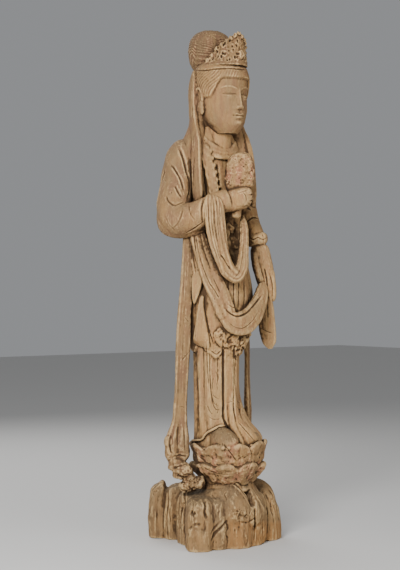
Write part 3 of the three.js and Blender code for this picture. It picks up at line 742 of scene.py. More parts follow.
def ribbon_forms():
    """Both long ribbons, from the forearms down to the rock."""
    facing = towards(-0.62, -0.78)
    right = drawn(
        (-6.9, 47.5, 4.0, 1.2, 0.9), (-7.15, 42.3, 4.4, 1.0, 0.95), (-7.35, 34, 4.5, 1.25, 1.0),
        (-7.87, 25.8, 4.6, 1.45, 1.0), (-8.1, 20.6, 4.8, 1.5, 1.0), (-8.66, 8.0, 5.0, 1.4, 1.0),
        (-8.85, 4.6, 5.2, 1.65, 1.1), (-9.2, 1.4, 5.5, 2.4, 1.3), (-9.3, -1.0, 5.5, 2.5, 1.4),
        (-9.0, -2.9, 5.5, 2.3, 1.4), (-8.7, -4.3, 5.5, 1.8, 1.3))
    left = [
        (9.4, 4.6, 48, 1.5, 1.0), (9.3, 4.7, 38, 1.4, 0.9), (9.8, 4.3, 28, 1.3, 0.75),
        (10.3, 4.0, 19, 1.3, 0.6), (10.2, 3.8, 12, 1.2, 0.6), (10.1, 3.6, 5, 1.6, 0.85),
        (9.2, 3.2, -2, 1.7, 1.1), (8.6, 3.3, -11, 1.5, 1.2),
    ]
    # The right ribbon's foot curls like a cloud, over a rough knob on the rock
    curls = [((-11.1, 0.7, 5.8), (0.9, 1.1, 1.2)), ((-9.6, -3.9, 5.8), (1.6, 1.4, 1.5)),
             ((-8.3, -5.0, 6.1), (2.0, 1.6, 1.5)), ((-9.0, -6.0, 5.9), (1.3, 1.3, 1.0)),
             ((-6.9, -5.3, 6.3), (1.0, 1.1, 0.75)), ((-6.6, -6.9, 5.4), (1.5, 1.6, 1.0)),
             ((-5.6, -7.8, 5.2), (2.0, 1.8, 1.4)), ((-7.0, -8.6, 4.6), (1.6, 1.8, 1.2))]
    random = np.random.default_rng(12)
    for _ in range(14):  # the knob's nodules
        a, b = random.uniform(-1.2, 1.2), random.uniform(-0.9, 1.1)
        size = random.uniform(0.3, 0.7)
        where = (-5.9 + 1.8 * math.sin(a), -7.8 + 1.2 * math.sin(b), 5.3 + 1.4 * math.cos(a) * math.cos(b))
        curls.append((where, (size, 0.4, 0.8 * size)))

    def creases(u, t):
        return -0.16 * bump(u - 0.5, 0.13) - 0.12 * bump(u + 0.55, 0.2) - 0.3 * bump(u, 0.2) * smoothstep(t, 0.8, 0.86)

    return [
        limb(right, facing, sides=80, steps=300, square=0.6, ends=0.04, outer=creases),
        limb(left, towards(0.62, -0.78), sides=70, steps=260, square=0.8, ends=0.05, outer=pleats(2, 0.24)),
        *[lump(seen(s, z, depth), sizes, turn=VIEW, shape=0.75) for (s, z, depth), sizes in curls],
    ]


# The head, as rows of height, centre, half width and half depth
HEAD_ROWS = [
    [64.6, -1.6, 2.2, 2.4], [65.6, -1.4, 3.0, 3.5], [66.6, -1.1, 3.7, 4.3], [68.4, -0.6, 4.4, 5.0],
    [71.5, 0, 4.85, 5.7], [74.5, 0.2, 5.1, 5.95], [77.0, 0.3, 4.95, 5.85], [79.2, 0.4, 3.9, 4.6],
    [80.4, 0.5, 2.0, 2.4],
]
# A plain face: eyes half way up the head, nose and mouth spaced evenly below them
EYE, BROW, NOSE, MOUTH, CHIN, HAIRLINE = 72.0, 73.5, 69.8, 68.1, 66.2, 75.8
NOSE_ROWS = [[69.2, 0, 0.95], [69.55, 0.5, 0.9], [69.9, 0.95, 0.72], [70.4, 0.92, 0.6], [71.2, 0.68, 0.5],
             [72.2, 0.5, 0.46], [73.2, 0.32, 0.55], [74.2, 0.05, 0.9]]
# The crown's wall: its foot, the middle and the half sizes of its oval, its boss, and its height at each angle
CROWN_FOOT, CROWN_Y, CROWN_HALF_WIDTH, CROWN_HALF_DEPTH = 79.0, 0.2, 4.75, 6.5
BOSS = (0.2, -6.3, 80.7)
CROWN_ROWS = [[0, 6.6], [12, 6.0], [32, 4.8], [52, 3.5], [75, 1.1], [90, 0.2], [180, 0.2]]


def face_relief(x, z):
    """How far the face stands out of the plain head, at x from the middle and a height."""
    a = np.abs(x)
    height, width = np.moveaxis(read(NOSE_ROWS, z), -1, 0)
    inside = smoothstep(z, 69.2, 69.5) * (1 - smoothstep(z, 73.6, 74.3))
    # the nose with its wings and nostrils
    relief = height * bump(x, width) * inside
    relief = relief + 0.3 * bump(a - 0.66, 0.3) * bump(z - NOSE - 0.05, 0.34)
    relief = relief - 0.14 * bump(a - 0.34, 0.17) * bump(z - NOSE + 0.42, 0.16)
    # the brows, and the eyes under heavy lids
    arch = BROW + 0.62 * np.sin(np.clip((a - 0.4) / 3.6, 0, 1) * np.pi * 0.92)
    relief = relief + 0.2 * bump(z - arch, 0.26) * smoothstep(a, 0.3, 0.8) * (1 - smoothstep(a, 3.2, 4.0))
    relief = relief - 0.34 * bump(a - 1.9, 1.35) * bump(z - EYE - 0.75, 0.75)
    lid = EYE - 0.12 + 0.1 * (a - 1.9) ** 2 * 0.3
    relief = relief + 0.42 * bump(a - 2.0, 1.0) * bump(z - EYE - 0.05, 0.55)
    relief = relief - 0.16 * bump(z - lid, 0.1) * (np.abs(a - 2.0) < 1.15)
    relief = relief - 0.12 * bump(z - EYE - 0.62, 0.12) * (np.abs(a - 2.0) < 1.25)
    # the mouth
    relief = relief + 0.3 * bump(x, 1.7) * bump(z - MOUTH - 0.1, 1.3)
    lips = MOUTH + 0.05 * a
    bow = MOUTH + 0.32 - 0.16 * np.cos(a * 3.4) * (a < 0.95) - 0.15 * a
    relief = relief + 0.34 * bump(z - bow, 0.2) * (1 - smoothstep(a, 0.9, 1.35))
    relief = relief + 0.36 * bump(z - MOUTH + 0.34, 0.24) * bump(x, 0.82)
    relief = relief - 0.2 * bump(z - lips, 0.11) * (1 - smoothstep(a, 1.1, 1.4))
    relief = relief - 0.14 * bump(a - 1.35, 0.25) * bump(z - MOUTH - 0.05, 0.25)
    relief = relief - 0.1 * bump(x, 0.2) * bump(z - 68.95, 0.35)
    relief = relief - 0.14 * bump(x, 1.0) * bump(z - MOUTH + 0.85, 0.3)
    # the chin and the cheeks
    relief = relief + 0.42 * bump(x, 1.3) * bump(z - CHIN - 0.3, 0.75)
    return relief + 0.22 * bump(a - 2.7, 1.3) * bump(z - 69.9, 1.7)


def skull(turn, t, out):
    """The head with its face, and the combed hair raised above it."""
    low, high = HEAD_ROWS[0][0], HEAD_ROWS[-1][0]
    z = low + (high - low) * t
    y, half_width, half_depth = np.moveaxis(read(HEAD_ROWS, z), -1, 0)
    angle = around_front(turn)
    edge = HAIRLINE - 3.9 * smoothstep(np.abs(angle), 38, 72) - 6.0 * smoothstep(np.abs(angle), 98, 125)
    hair = smoothstep(z, edge - 0.12, edge + 0.4)
    combed = np.sin(2 * np.pi * (angle * 0.13 * np.sign(angle) + z * 1.1 + 0.6 * np.sin(angle * 0.06 + z * 0.8)))
    raised = hair * (0.5 + 0.06 * combed * (1 - 0.6 * smoothstep(angle, -25, 5)) * (1 - smoothstep(z, 77.4, 77.9)))
    front = smoothstep(np.cos(turn), 0.15, 0.55) * (1 - hair)
    relief = face_relief(half_width * np.sin(turn), z) * front * out
    x = out * (half_width + raised) * np.sin(turn)
    return x, y - out * (half_depth + raised) * np.cos(turn) - relief, z


def head_forms():
    """The head with its ears, and the veil."""
    forms = [skin(520, 420, skull)]
    for side in (-1, 1):
        # Long ears, with a rim and a hanging lobe
        rim = [(side * (5.25 + 0.25 * math.cos(b)), 0.9 - 0.95 * math.sin(b), 72.4 + 1.6 * math.cos(b), 0.34)
               for b in np.linspace(-2.9, 2.4, 15)]
        forms.append(limb(rim, towards(side, 0), sides=16, steps=80, ends=0.05))
        forms.append(lump((side * 4.95, 0.9, 72.3), (0.5, 0.85, 1.4)))
        lobe = [(side * 5.1, 0.45, 71.6, 0.5, 0.42), (side * 5.25, 0.25, 70.3, 0.52, 0.42),
                (side * 5.22, 0.15, 69.2, 0.5, 0.4), (side * 5.15, 0.1, 68.5, 0.34, 0.32)]
        forms.append(limb(lobe, towards(side, -0.4), sides=24, steps=40, ends=0.2))
    return forms + veil_forms()


KNOT_ROWS = [[77.0, 2.8], [78.2, 3.5], [79.5, 4.3], [81.5, 4.8], [83.5, 4.8], [85.3, 4.2], [86.4, 3.0], [87, 1.6]]
KNOT_FOOT, KNOT_HEIGHT, KNOT_Y = 77.0, 9.9, 3.9


def headdress_forms():
    """The high knot of hair, and before it the crown, a wall of pierced curls that rises to a point."""
    def knot(turn, t, out):
        z = KNOT_FOOT + KNOT_HEIGHT * t
        angle = (turn + np.pi) % (2 * np.pi) - np.pi
        radius = read(KNOT_ROWS, z)[..., 0] - 0.12
        bend = 1.2 * noise(np.stack([3 * angle, 0.5 * z, 0 * z], -1), 61)
        swirl = np.sin(2 * np.pi * (1.7 * z + 2.3 * np.sin(angle * 1.1 + 0.5 * (z - 82)) + 0.5 * np.cos(2 * angle)
                                    + bend))
        radius = radius + 0.065 * swirl * smoothstep(t, 0.12, 0.2) * (1 - smoothstep(t, 0.9, 1))
        return out * radius * np.sin(turn), KNOT_Y - out * 0.95 * radius * np.cos(turn), z

    def wall(turn, t, out):
        angle = around_front(turn)
        rise = read(CROWN_ROWS, np.abs(angle))[..., 0]
        z = CROWN_FOOT - 0.4 + t * (0.4 + rise * out + 0.5 * (1 - out))
        lean = 0.5 * t
        reach = out * (1 - 0.05 * t) * (1 - 0.3 * smoothstep(np.abs(angle), 84, 108))
        return CROWN_HALF_WIDTH * reach * np.sin(turn), CROWN_Y + lean - CROWN_HALF_DEPTH * reach * np.cos(turn), z

    forms = [skin(300, 240, knot), skin(240, 110, wall)]
    # Flames and curls along the crown's top, and the round boss on its front
    for n in range(-7, 8):
        angle = n * 11.0
        a = math.radians(angle)
        rise = float(read(CROWN_ROWS, abs(angle))[0])
        x, y = 4.55 * math.sin(a), 0.6 - 6.2 * math.cos(a)
        forms.append(lump((x, y, CROWN_FOOT + rise - 0.35), (0.42, 0.4, 0.45 + 0.1 * (n % 2)), turn=angle, detail=20))
    forms.append(lump(BOSS, (1.0, 0.5, 0.95), detail=28))
    return forms


def veil_forms():
    """Strips of veil from behind the ears, over the shoulders to the forearms."""
    forms = []
    run = [(5.0, 3.2, 78, 1.2), (5.5, 3.0, 73, 1.45), (5.5, 2.8, 69.6, 1.3), (6.0, 1.6, 66.4, 1.2),
           (6.6, -0.2, 62.8, 1.15), (7.0, -0.9, 58, 1.15), (7.0, -1.2, 53.5, 1.2), (7.1, -1.6, 50, 1.6)]
    for side in (-1, 1):
        stations = []
        for n, (x, y, z, width) in enumerate(run):
            # each strip stands further off the chest, and the left one is thicker there
            left = float(smoothstep(float(n), 3, 6)) * (side > 0)
            right = float(smoothstep(float(n), 2, 4)) * (side < 0)
            x, y = side * (x + 0.35 * left + 0.28 * right), y + 0.3 * left + 0.2 * right
            stations.append((x, y, z, width, 0.6 + 0.3 * left))
        forms.append(limb(stations, from_axis, sides=60, steps=220, square=0.55, outer=pleats(2, 0.07, 0.8)))
        forms.append(lump((side * 4.3, 2.7, 71.0), (1.6, 1.9, 6.4)))
        back = 0.9 * (side < 0)
        shoulder = [(side * 4.0, 2.4 + back, 69.0, 1.5), (side * 4.6, 1.8 + back, 65.6, 1.9),
                    (side * 5.8, 1.6 + back, 62.4, 2.3), (side * 7.0, 2.0 + back, 58.0, 2.4)]
        forms.append(limb(shoulder, from_axis, sides=50, steps=60))
    nape = [(0, 3.6, 79.0, 3.4, 1.5), (0, 4.4, 76.0, 4.4, 1.6), (0, 4.6, 72.0, 4.7, 1.6), (0, 4.1, 68.5, 4.8, 1.4),
            (0, 4.2, 66.0, 4.9, 1.5), (0, 5.0, 62.5, 5.0, 1.9), (0, 5.2, 57.0, 4.2, 1.6)]
    return forms + [limb(nape, towards(0, 1), sides=70, steps=90, square=0.8, outer=pleats(5, 0.2, 0.8))]


LOTUS_Y = -2.0
PETALS = 9


def turned(rows, sides, steps):
    """A form turned about the lotus's axis, from rows of the share of its height, z and radius."""
    def place(turn, t, out):
        z, radius = np.moveaxis(read(rows, t), -1, 0)
        return out * radius * np.sin(turn), LOTUS_Y - out * radius * np.cos(turn), z

    return skin(sides, steps, place)


def petal_relief(u, t):
    """A petal's full middle, with a groove along it and a thick rim."""
    valley = 0.16 * bump(u, 0.1) * smoothstep(t, 0.1, 0.3)
    return 0.16 * (1 - u * u) - valley + 0.1 * smoothstep(np.abs(u), 0.78, 0.9)


def lotus_forms():
    """Two rows of petals that spread from a narrow foot, and the worn feet above them."""
    bowl = [[0, -9.4, 5.6], [0.12, -8.3, 4.9], [0.3, -7.2, 5.2], [0.55, -4.8, 6.7], [0.8, -2.2, 7.4], [1, -0.5, 7.2]]
    forms = [turned(bowl, 120, 60)]
    random = np.random.default_rng(8)
    outline = ((0.0, 0.55), (0.25, 0.9), (0.5, 1.0), (0.75, 0.88), (0.92, 0.5), (1, 0.2))
    # The upper and the lower row: turn, radius at foot, belly and lip, heights of foot and lip, and half width
    tiers = ((0.5, 5.4, 6.8, 8.0, -5.0, 0.6, 3.0), (0.0, 4.4, 6.3, 7.8, -8.0, -3.5, 2.75))
    for shift, foot, belly, lip, low, high, wide in tiers:
        for n in range(PETALS):
            a = 2 * math.pi * (n + shift) / PETALS + random.uniform(-0.06, 0.06)
            out, middle = np.array([math.sin(a), -math.cos(a), 0]), np.array([0, LOTUS_Y, 0])
            top = high + random.uniform(-0.5, 0.3)
            stations = []
            for t, width in outline:
                radius = foot + (belly - foot) * math.sin(t * math.pi / 2) + (lip - belly) * t ** 2
                where = middle + out * radius + [0, 0, low + (top - low) * t]
                stations.append((*where, wide * width, 0.7 - 0.28 * t))
            forms.append(limb(stations, towards(out[0], out[1], -0.3), sides=60, steps=80, ends=0.08, bow=0.05,
                              outer=petal_relief))
    return forms + foot_forms()


def foot_forms():
    """Both feet with their toes and sandals."""
    def toe(x, y, z):
        return x, y, z * (1 + 0.3 * y)

    forms = [
        lump((-3.5, -5.0, 0.6), (2.7, 4.0, 2.9), turn=-8, push=toe, detail=48),
        lump((2.6, -4.6, 0.6), (2.6, 3.8, 2.8), turn=14, push=toe, detail=48),
    ]
    for x0, turn in ((-3.9, -8), (2.9, 14)):
        for n in range(5):
            a = math.radians(turn)
            across = (n - 2) * 0.95
            x = x0 + across * math.cos(a) - 0.2 * math.sin(a)
            y = -8.1 + 0.16 * (n - 2) ** 2 + across * math.sin(a)
            forms.append(lump((x, y, -0.2), (0.52, 1.0, 0.6), turn=turn, detail=20))
        # The sandal's strap over the instep
        strap = [(x0 + 0.3 + 2.5 * math.sin(b), -6.3 + 0.5 * abs(math.sin(b)), 0.55 + 1.5 * math.cos(b), 0.36, 0.34)
                 for b in np.linspace(-1.5, 1.5, 9)]
        forms.append(limb(strap, towards(0, -0.8, 0.6), sides=16, steps=50))
    return forms


# The rock's masses in the front drawing: s, depth, half width, half depth, height, fall to the right, squareness
BOULDERS = [
    [0.0, -1.0, 9.7, 8.7, 11.4, 0, 0.8], [-13.5, -6.0, 1.95, 2.9, 11.6, -0.06, 0.7],
    [-9.7, -6.2, 2.7, 4.7, 11.2, -0.03, 0.6], [-5.6, -1.5, 3.4, 6.5, 11.2, 0, 0.75],
    [-4.6, 5.4, 3.1, 6.6, 10.4, 0, 0.55], [-4.9, 8.6, 2.7, 3.9, 5.2, 0.03, 0.6],
    [-1.2, 4.4, 2.5, 6.2, 10.4, 0, 0.7], [2.2, 2.9, 4.2, 6.3, 10.4, 0.03, 0.7],
    [5.2, 0.6, 2.4, 5.4, 9.6, 0.15, 0.7], [-3.6, -8.5, 6.2, 4.0, 10.2, 0.05, 0.75],
]


# How wide a boulder is and how high, at shares of the way up
BOULDER_ROWS = [[0, 0.97, 0], [0.3, 1, 0.45], [0.55, 0.96, 0.76], [0.75, 0.86, 0.91], [0.9, 0.62, 0.985], [1, 0.35, 1]]


def boulder(s, depth, half_width, half_depth, height, fall, square):
    """One of the rock's masses, with a top that may fall to one side."""
    middle = seen(s, FLOOR, depth)
    cos, sin = math.cos(math.radians(VIEW)), math.sin(math.radians(VIEW))

    def place(turn, t, out):
        u, v = power(np.sin(turn), square), -power(np.cos(turn), square)
        size, top = np.moveaxis(read(BOULDER_ROWS, t), -1, 0)
        x, y = out * size * u * half_width, out * size * v * half_depth
        z = middle[2] + height * top * (1 - fall * u * top * out)
        return middle[0] + x * cos - y * sin, middle[1] + x * sin + y * cos, z

    return skin(90, 80, place)


def rock_forms():
    """The rock's boulders, lobes and knobs, and its neck under the lotus."""
    def on_floor(x, y, z):
        return x, y, np.maximum(z, 0)

    forms = [boulder(*row) for row in BOULDERS]
    # The big arched lobe on the right and a lower one behind it
    forms.append(lump(seen(7.3, FLOOR, -5.2), (5.2, 5.6, 12.6), turn=VIEW, shape=0.86, detail=90, push=on_floor))
    forms.append(lump(seen(3.5, FLOOR, -8.0), (6.0, 5.0, 10.6), turn=VIEW, shape=0.8, detail=70, push=on_floor))
    # The worn knobs low on the right front
    for s, z, depth, size in ((1.6, -16.0, 8.6, 0.8), (2.7, -16.3, 8.4, 0.75), (4.2, -15.6, 7.0, 1.0),
                              (5.4, -16.0, 6.2, 1.1), (6.5, -15.0, 5.0, 1.0), (6.2, -13.9, 5.0, 0.9)):
        forms.append(lump(seen(s, z, depth), (1.1 * size, 0.9 * size, 0.8 * size), turn=VIEW, detail=24))
    neck = [[0, -18, 6.4], [0.15, -15.8, 7.8], [0.3, -13.6, 8.2], [0.46, -11.4, 7.4], [0.62, -9.8, 6.2],
            [0.8, -8.6, 5.4], [1, -7.2, 5.0]]
    return forms + [turned(neck, 90, 40)]


# Strokes of the chisel: a half width, a depth and a drawn line of s and z. They are drawn as seen from the photograph's
# azimuth, or from the one that is given where they are cut. Their order counts, because it seeds their unevenness.

SKIRT_STROKES = [
    groove(0.3, 0.5, 0.25, 21.2, 0.2, 14, 0.25, 8, 0.4, 4.6, 1.2, 3.0, 2.7, 0.2),
    groove(0.2, 0.34, 2.6, 20.8, 2.6, 12, 2.6, 6, 2.9, 4.4), groove(0.3, 0.4, 4.5, 20, 4.45, 12, 4.5, 6),
    groove(0.16, 0.13, -3.9, 20.6, -3.8, 15, -3.7, 9.5), groove(0.17, 0.18, -3.3, 20.6, -3.05, 15, -2.7, 11.5),
    groove(0.19, 0.2, -2.6, 19.2, -2.5, 14, -2.1, 9.5, -1.7, 7.2),
    ridge(0.3, 0.08, -2.9, 19.4, -2.8, 14, -2.4, 9.5), groove(0.17, 0.22, -3.1, 7.6, -2.6, 6.5, -2.0, 5.8),
    groove(0.13, 0.12, -2.0, 9.4, -1.4, 7.9, -0.4, 7.4), groove(0.13, 0.12, -1.9, 8.2, -1.2, 6.8, -0.3, 6.7),
    groove(0.12, 0.1, -2.2, 11.6, -1.6, 9.6, -0.5, 8.9), groove(0.15, 0.1, -3.0, 5.4, -1.6, 4.7, -0.1, 4.9),
    groove(0.16, 0.07, -5.2, 16, -5.2, 9, -5.1, 3), groove(0.2, 0.08, -0.9, 19.0, -0.9, 15, -0.8, 12),
    groove(0.12, 0.12, 1.1, 8.3, 2.3, 8.5), groove(0.13, 0.1, 3.0, 8.9, 3.7, 8.2, 4.3, 8.8),
    groove(0.14, 0.1, 3.0, 7.6, 3.7, 6.8, 4.3, 7.5), groove(0.15, 0.08, 3.6, 19.4, 3.6, 14, 3.7, 10.5),
    groove(0.14, 0.2, -0.2, 19.2, -0.9, 18.5, -2.6, 19.3), ridge(0.16, 0.1, 3.3, 4.0, 4.9, 2.2, 6.6, 0.2),
    groove(0.2, 0.22, 3.6, 4.0, 5.2, 2.2, 6.8, 0.3), groove(0.2, 0.14, 4.9, 4.4, 6.2, 2.6, 7.6, 1.2),
    # the flaring fold above the hem, and the belly between the scarves
    groove(0.17, 0.32, -3.5, 28.0, -2.9, 24.4, -1.9, 20.8), groove(0.2, 0.1, -5.4, 27, -5.5, 24, -5.8, 21),
    groove(0.3, 0.3, 1.4, 34, 1.3, 31, 1.5, 28.4), groove(0.24, 0.26, 2.5, 34, 2.5, 31, 2.6, 28),
    groove(0.32, 0.32, 3.6, 34, 3.6, 31, 3.5, 28), groove(0.25, 0.24, 4.7, 34, 4.8, 31, 4.7, 28.4),
    groove(0.28, 0.29, 5.7, 34.5, 5.8, 31, 5.6, 28), groove(0.3, 0.2, -6.5, 44, -6.4, 32, -6.3, 22),
    groove(0.34, 0.32, 0.2, 46.5, 0.2, 42, 0.9, 38.5), groove(0.3, 0.32, 3.9, 46.5, 3.8, 42, 3.4, 38),
    # the breast
    groove(0.4, 0.3, -1.0, 58.6, -0.7, 55.6, -0.3, 52.0), groove(0.3, 0.5, -3.7, 57.4, -3.4, 54, -3.1, 51.0),
]
BACK_STROKES = [
    groove(0.34, 0.4, -4.4, 46, -4.2, 30, -4.6, 21), groove(0.3, 0.36, -1.6, 50, -1.2, 34, -1.6, 21),
    groove(0.34, 0.4, 1.5, 52, 1.6, 36, 1.2, 21), groove(0.3, 0.36, 4.4, 47, 4.1, 32, 4.6, 21),
    fold(1.0, 0.3, -6, 57, -1, 50, 5.4, 56), fold(1.0, 0.26, -6, 53, -0.5, 45.6, 5.6, 52),
    fold(0.9, 0.24, -5.8, 48, 0, 41, 5.6, 47), groove(0.22, 0.26, -3.2, 19, -3.3, 10, -3.0, 1),
    groove(0.22, 0.26, 0.3, 19, 0.2, 10, 0.4, 1), groove(0.22, 0.26, 3.2, 19, 3.1, 10, 3.4, 1),
]
SLEEVE_STROKES = [
    groove(0.5, 0.42, -9.0, 61.8, -7.9, 58.9, -7.3, 56.4, -6.7, 54.7, -6.8, 52.7, -7.4, 50.8),
    fold(1.0, 0.14, -6.9, 54.7, -7.5, 56.4, -8.1, 58.9, -9.2, 61.8),
    groove(0.36, 0.25, -10.7, 58.3, -9.6, 56.8, -8.7, 55.2, -8.0, 52.9),
    fold(0.9, 0.1, -8.2, 52.9, -8.9, 55.2, -9.8, 56.8, -10.9, 58.3),
    groove(0.34, 0.22, -9.9, 53.9, -9.2, 52.6, -8.5, 51.4),
    groove(0.3, 0.2, -11.8, 51.9, -11.2, 50.6, -9.9, 49.8, -8.9, 50.1, -8.0, 50.5),
    groove(0.26, 0.09, -8.2, 49.4, -8.6, 47.5, -9.5, 45.7, -10.6, 44.7),
    groove(0.26, 0.09, -12.0, 47.6, -11.0, 45.6, -9.8, 44.3),
    groove(0.26, 0.1, -7.0, 50.0, -6.6, 48.0, -5.6, 46.6),
    groove(0.24, 0.2, -7.6, 43.9, -6.2, 44.6, -4.0, 46.2), groove(0.3, 0.24, -4.0, 46.0, -4.3, 49, -3.9, 51.4),
    # the worn hand
    groove(0.16, 0.14, 4.4, 52.6, 5.0, 51.8, 5.2, 50.6), groove(0.14, 0.1, 3.0, 52.2, 4.2, 52.6, 5.4, 53.0),
    # the left sleeve and hand
    groove(0.34, 0.28, 5.2, 46.3, 6.6, 47.2, 8.6, 46.6), fold(0.8, 0.12, 8.6, 46.4, 6.6, 47.0, 5.2, 46.1),
    groove(0.27, 0.12, 6.4, 58, 7.0, 54, 6.8, 50), groove(0.3, 0.12, 5.4, 50.4, 6.8, 49.4, 8.4, 49.8),
    groove(0.2, 0.16, 5.6, 43.1, 6.6, 42.6, 7.6, 43.0, 8.6, 42.6, 9.6, 43.0),
    groove(0.22, 0.3, 8.9, 36.6, 9.3, 35.0, 9.6, 32.4), groove(0.16, 0.12, 8.2, 35.0, 8.7, 33, 8.8, 31.2),
    groove(0.17, 0.12, 10.1, 35.2, 10.6, 33, 10.6, 30.4),
]
SCARF_STROKES = [
    groove(0.3, 0.4, 0.8, 27.9, 1.9, 26.9, 3.3, 26.4, 5.0, 27.0, 6.7, 28.7, 8.4, 30.9),
    groove(0.2, 0.14, 1.2, 29.0, 2.7, 28.2, 4.4, 28.5, 6.0, 29.6, 7.6, 31.6),
    groove(0.18, 0.1, 1.2, 25.4, 2.6, 24.2, 4.4, 23.9, 6.2, 25.2, 7.8, 27.6),
    groove(0.2, 0.22, -2.6, 33.4, -1.5, 31.9, -0.6, 30.3), groove(0.17, 0.12, -4.8, 45, -3.8, 40.4, -2.4, 36.4),
    groove(0.17, 0.13, -5.6, 44, -4.8, 39.6, -3.4, 35.2, -1.6, 31.4), groove(0.15, 0.1, -1.8, 34.4, -0.4, 31.4),
    groove(0.2, 0.36, -0.2, 39.3, 0.8, 37.9, 1.8, 36.3),
    groove(0.15, 0.14, -2.9, 50.8, -2.7, 46, -1.9, 41.6, -0.6, 37.6),
    groove(0.15, 0.14, -2.3, 51.0, -2.1, 46, -1.3, 41.6, 0.1, 37.0),
    groove(0.14, 0.12, -1.7, 51.0, -1.5, 46, -0.9, 42.0),
    groove(0.14, 0.12, -1.1, 51.0, -0.9, 46.4, -0.5, 42.6), groove(0.14, 0.12, -0.5, 50.8, -0.3, 47),
    groove(0.16, 0.12, 2.2, 34.0, 3.4, 35.4, 4.3, 38.6, 4.5, 42), groove(0.16, 0.1, -3.4, 50.2, -3.2, 47),
    groove(0.24, 0.2, 8.1, 24.1, 9.2, 23.4, 10.5, 22.9), fold(0.6, 0.1, 10.5, 23.1, 9.2, 23.6, 8.1, 24.3),
    groove(0.18, 0.12, 9.5, 29.2, 9.7, 26), groove(0.2, 0.14, -6.7, 44.5, -6.2, 40.5, -5.6, 36),
    groove(0.18, 0.14, -5.9, 45, -5.6, 41, -5.0, 37.2),
]
RIBBON_STROKES = [
    groove(0.13, 0.2, -8.4, 17.2, -7.5, 18.2, -6.7, 19.2), groove(0.12, 0.14, -9.0, 7.5, -7.9, 7.3),
    groove(0.14, 0.12, -7.8, 26.2, -7.0, 25.2), groove(0.13, 0.07, -7.4, 40, -7.6, 32, -8.1, 24, -8.3, 17),
    groove(0.3, 0.2, -10.7, 1.6, -11.0, -0.6, -10.6, -2.6),
    groove(0.26, 0.16, -9.2, 3.4, -9.4, 0.6, -9.2, -2.0), groove(0.24, 0.14, -8.0, 3, -7.9, 0, -7.8, -2.4),
    groove(0.34, 0.34, -10.6, -3.2, -9.3, -2.9, -7.2, -3.1),
    groove(0.3, 0.2, -10.2, -5.6, -8.8, -5.0, -7.4, -4.6),
]
HEAD_STROKES = [
    groove(0.26, 0.34, -5.6, 78.2, -3.5, 78.2, -1.3, 78.5, 2, 78.6, 5.2, 78.3), groove(0.15, 0.22, 4.5, 77.5),
    groove(0.2, 0.3, -6.1, 77, -6.3, 72, -6.2, 68), groove(0.16, 0.12, -5.3, 76.4, -5.0, 73, -5.3, 69.4),
    groove(0.14, 0.07, -6.8, 76, -7.0, 71, -6.8, 66), groove(0.2, 0.1, -6.0, 65, -5.9, 60, -6.2, 53),
    groove(0.15, 0.07, -5.2, 64.6, -5.1, 60, -5.0, 54),
]
LOTUS_STROKES = [
    groove(0.24, 0.16, -5.8, -2.0, -3.0, -4.6, 0.4, -5.6), groove(0.2, 0.14, 5.6, -0.8, 6.4, -3.0, 5.6, -6.0),
    groove(0.16, 0.1, -5.2, -4.4, -2.2, -6.4, 1.2, -6.9, 4.4, -6.2),
    ridge(0.24, 0.1, -1.6, -3.8, 1.4, -4.8, 4.0, -5.0), groove(0.16, 0.12, 0.4, -0.5, 2.0, -2.6, 3.2, -4.2),
    groove(0.12, 0.12, 0.15, -0.2, 0.0, -1.0),
]
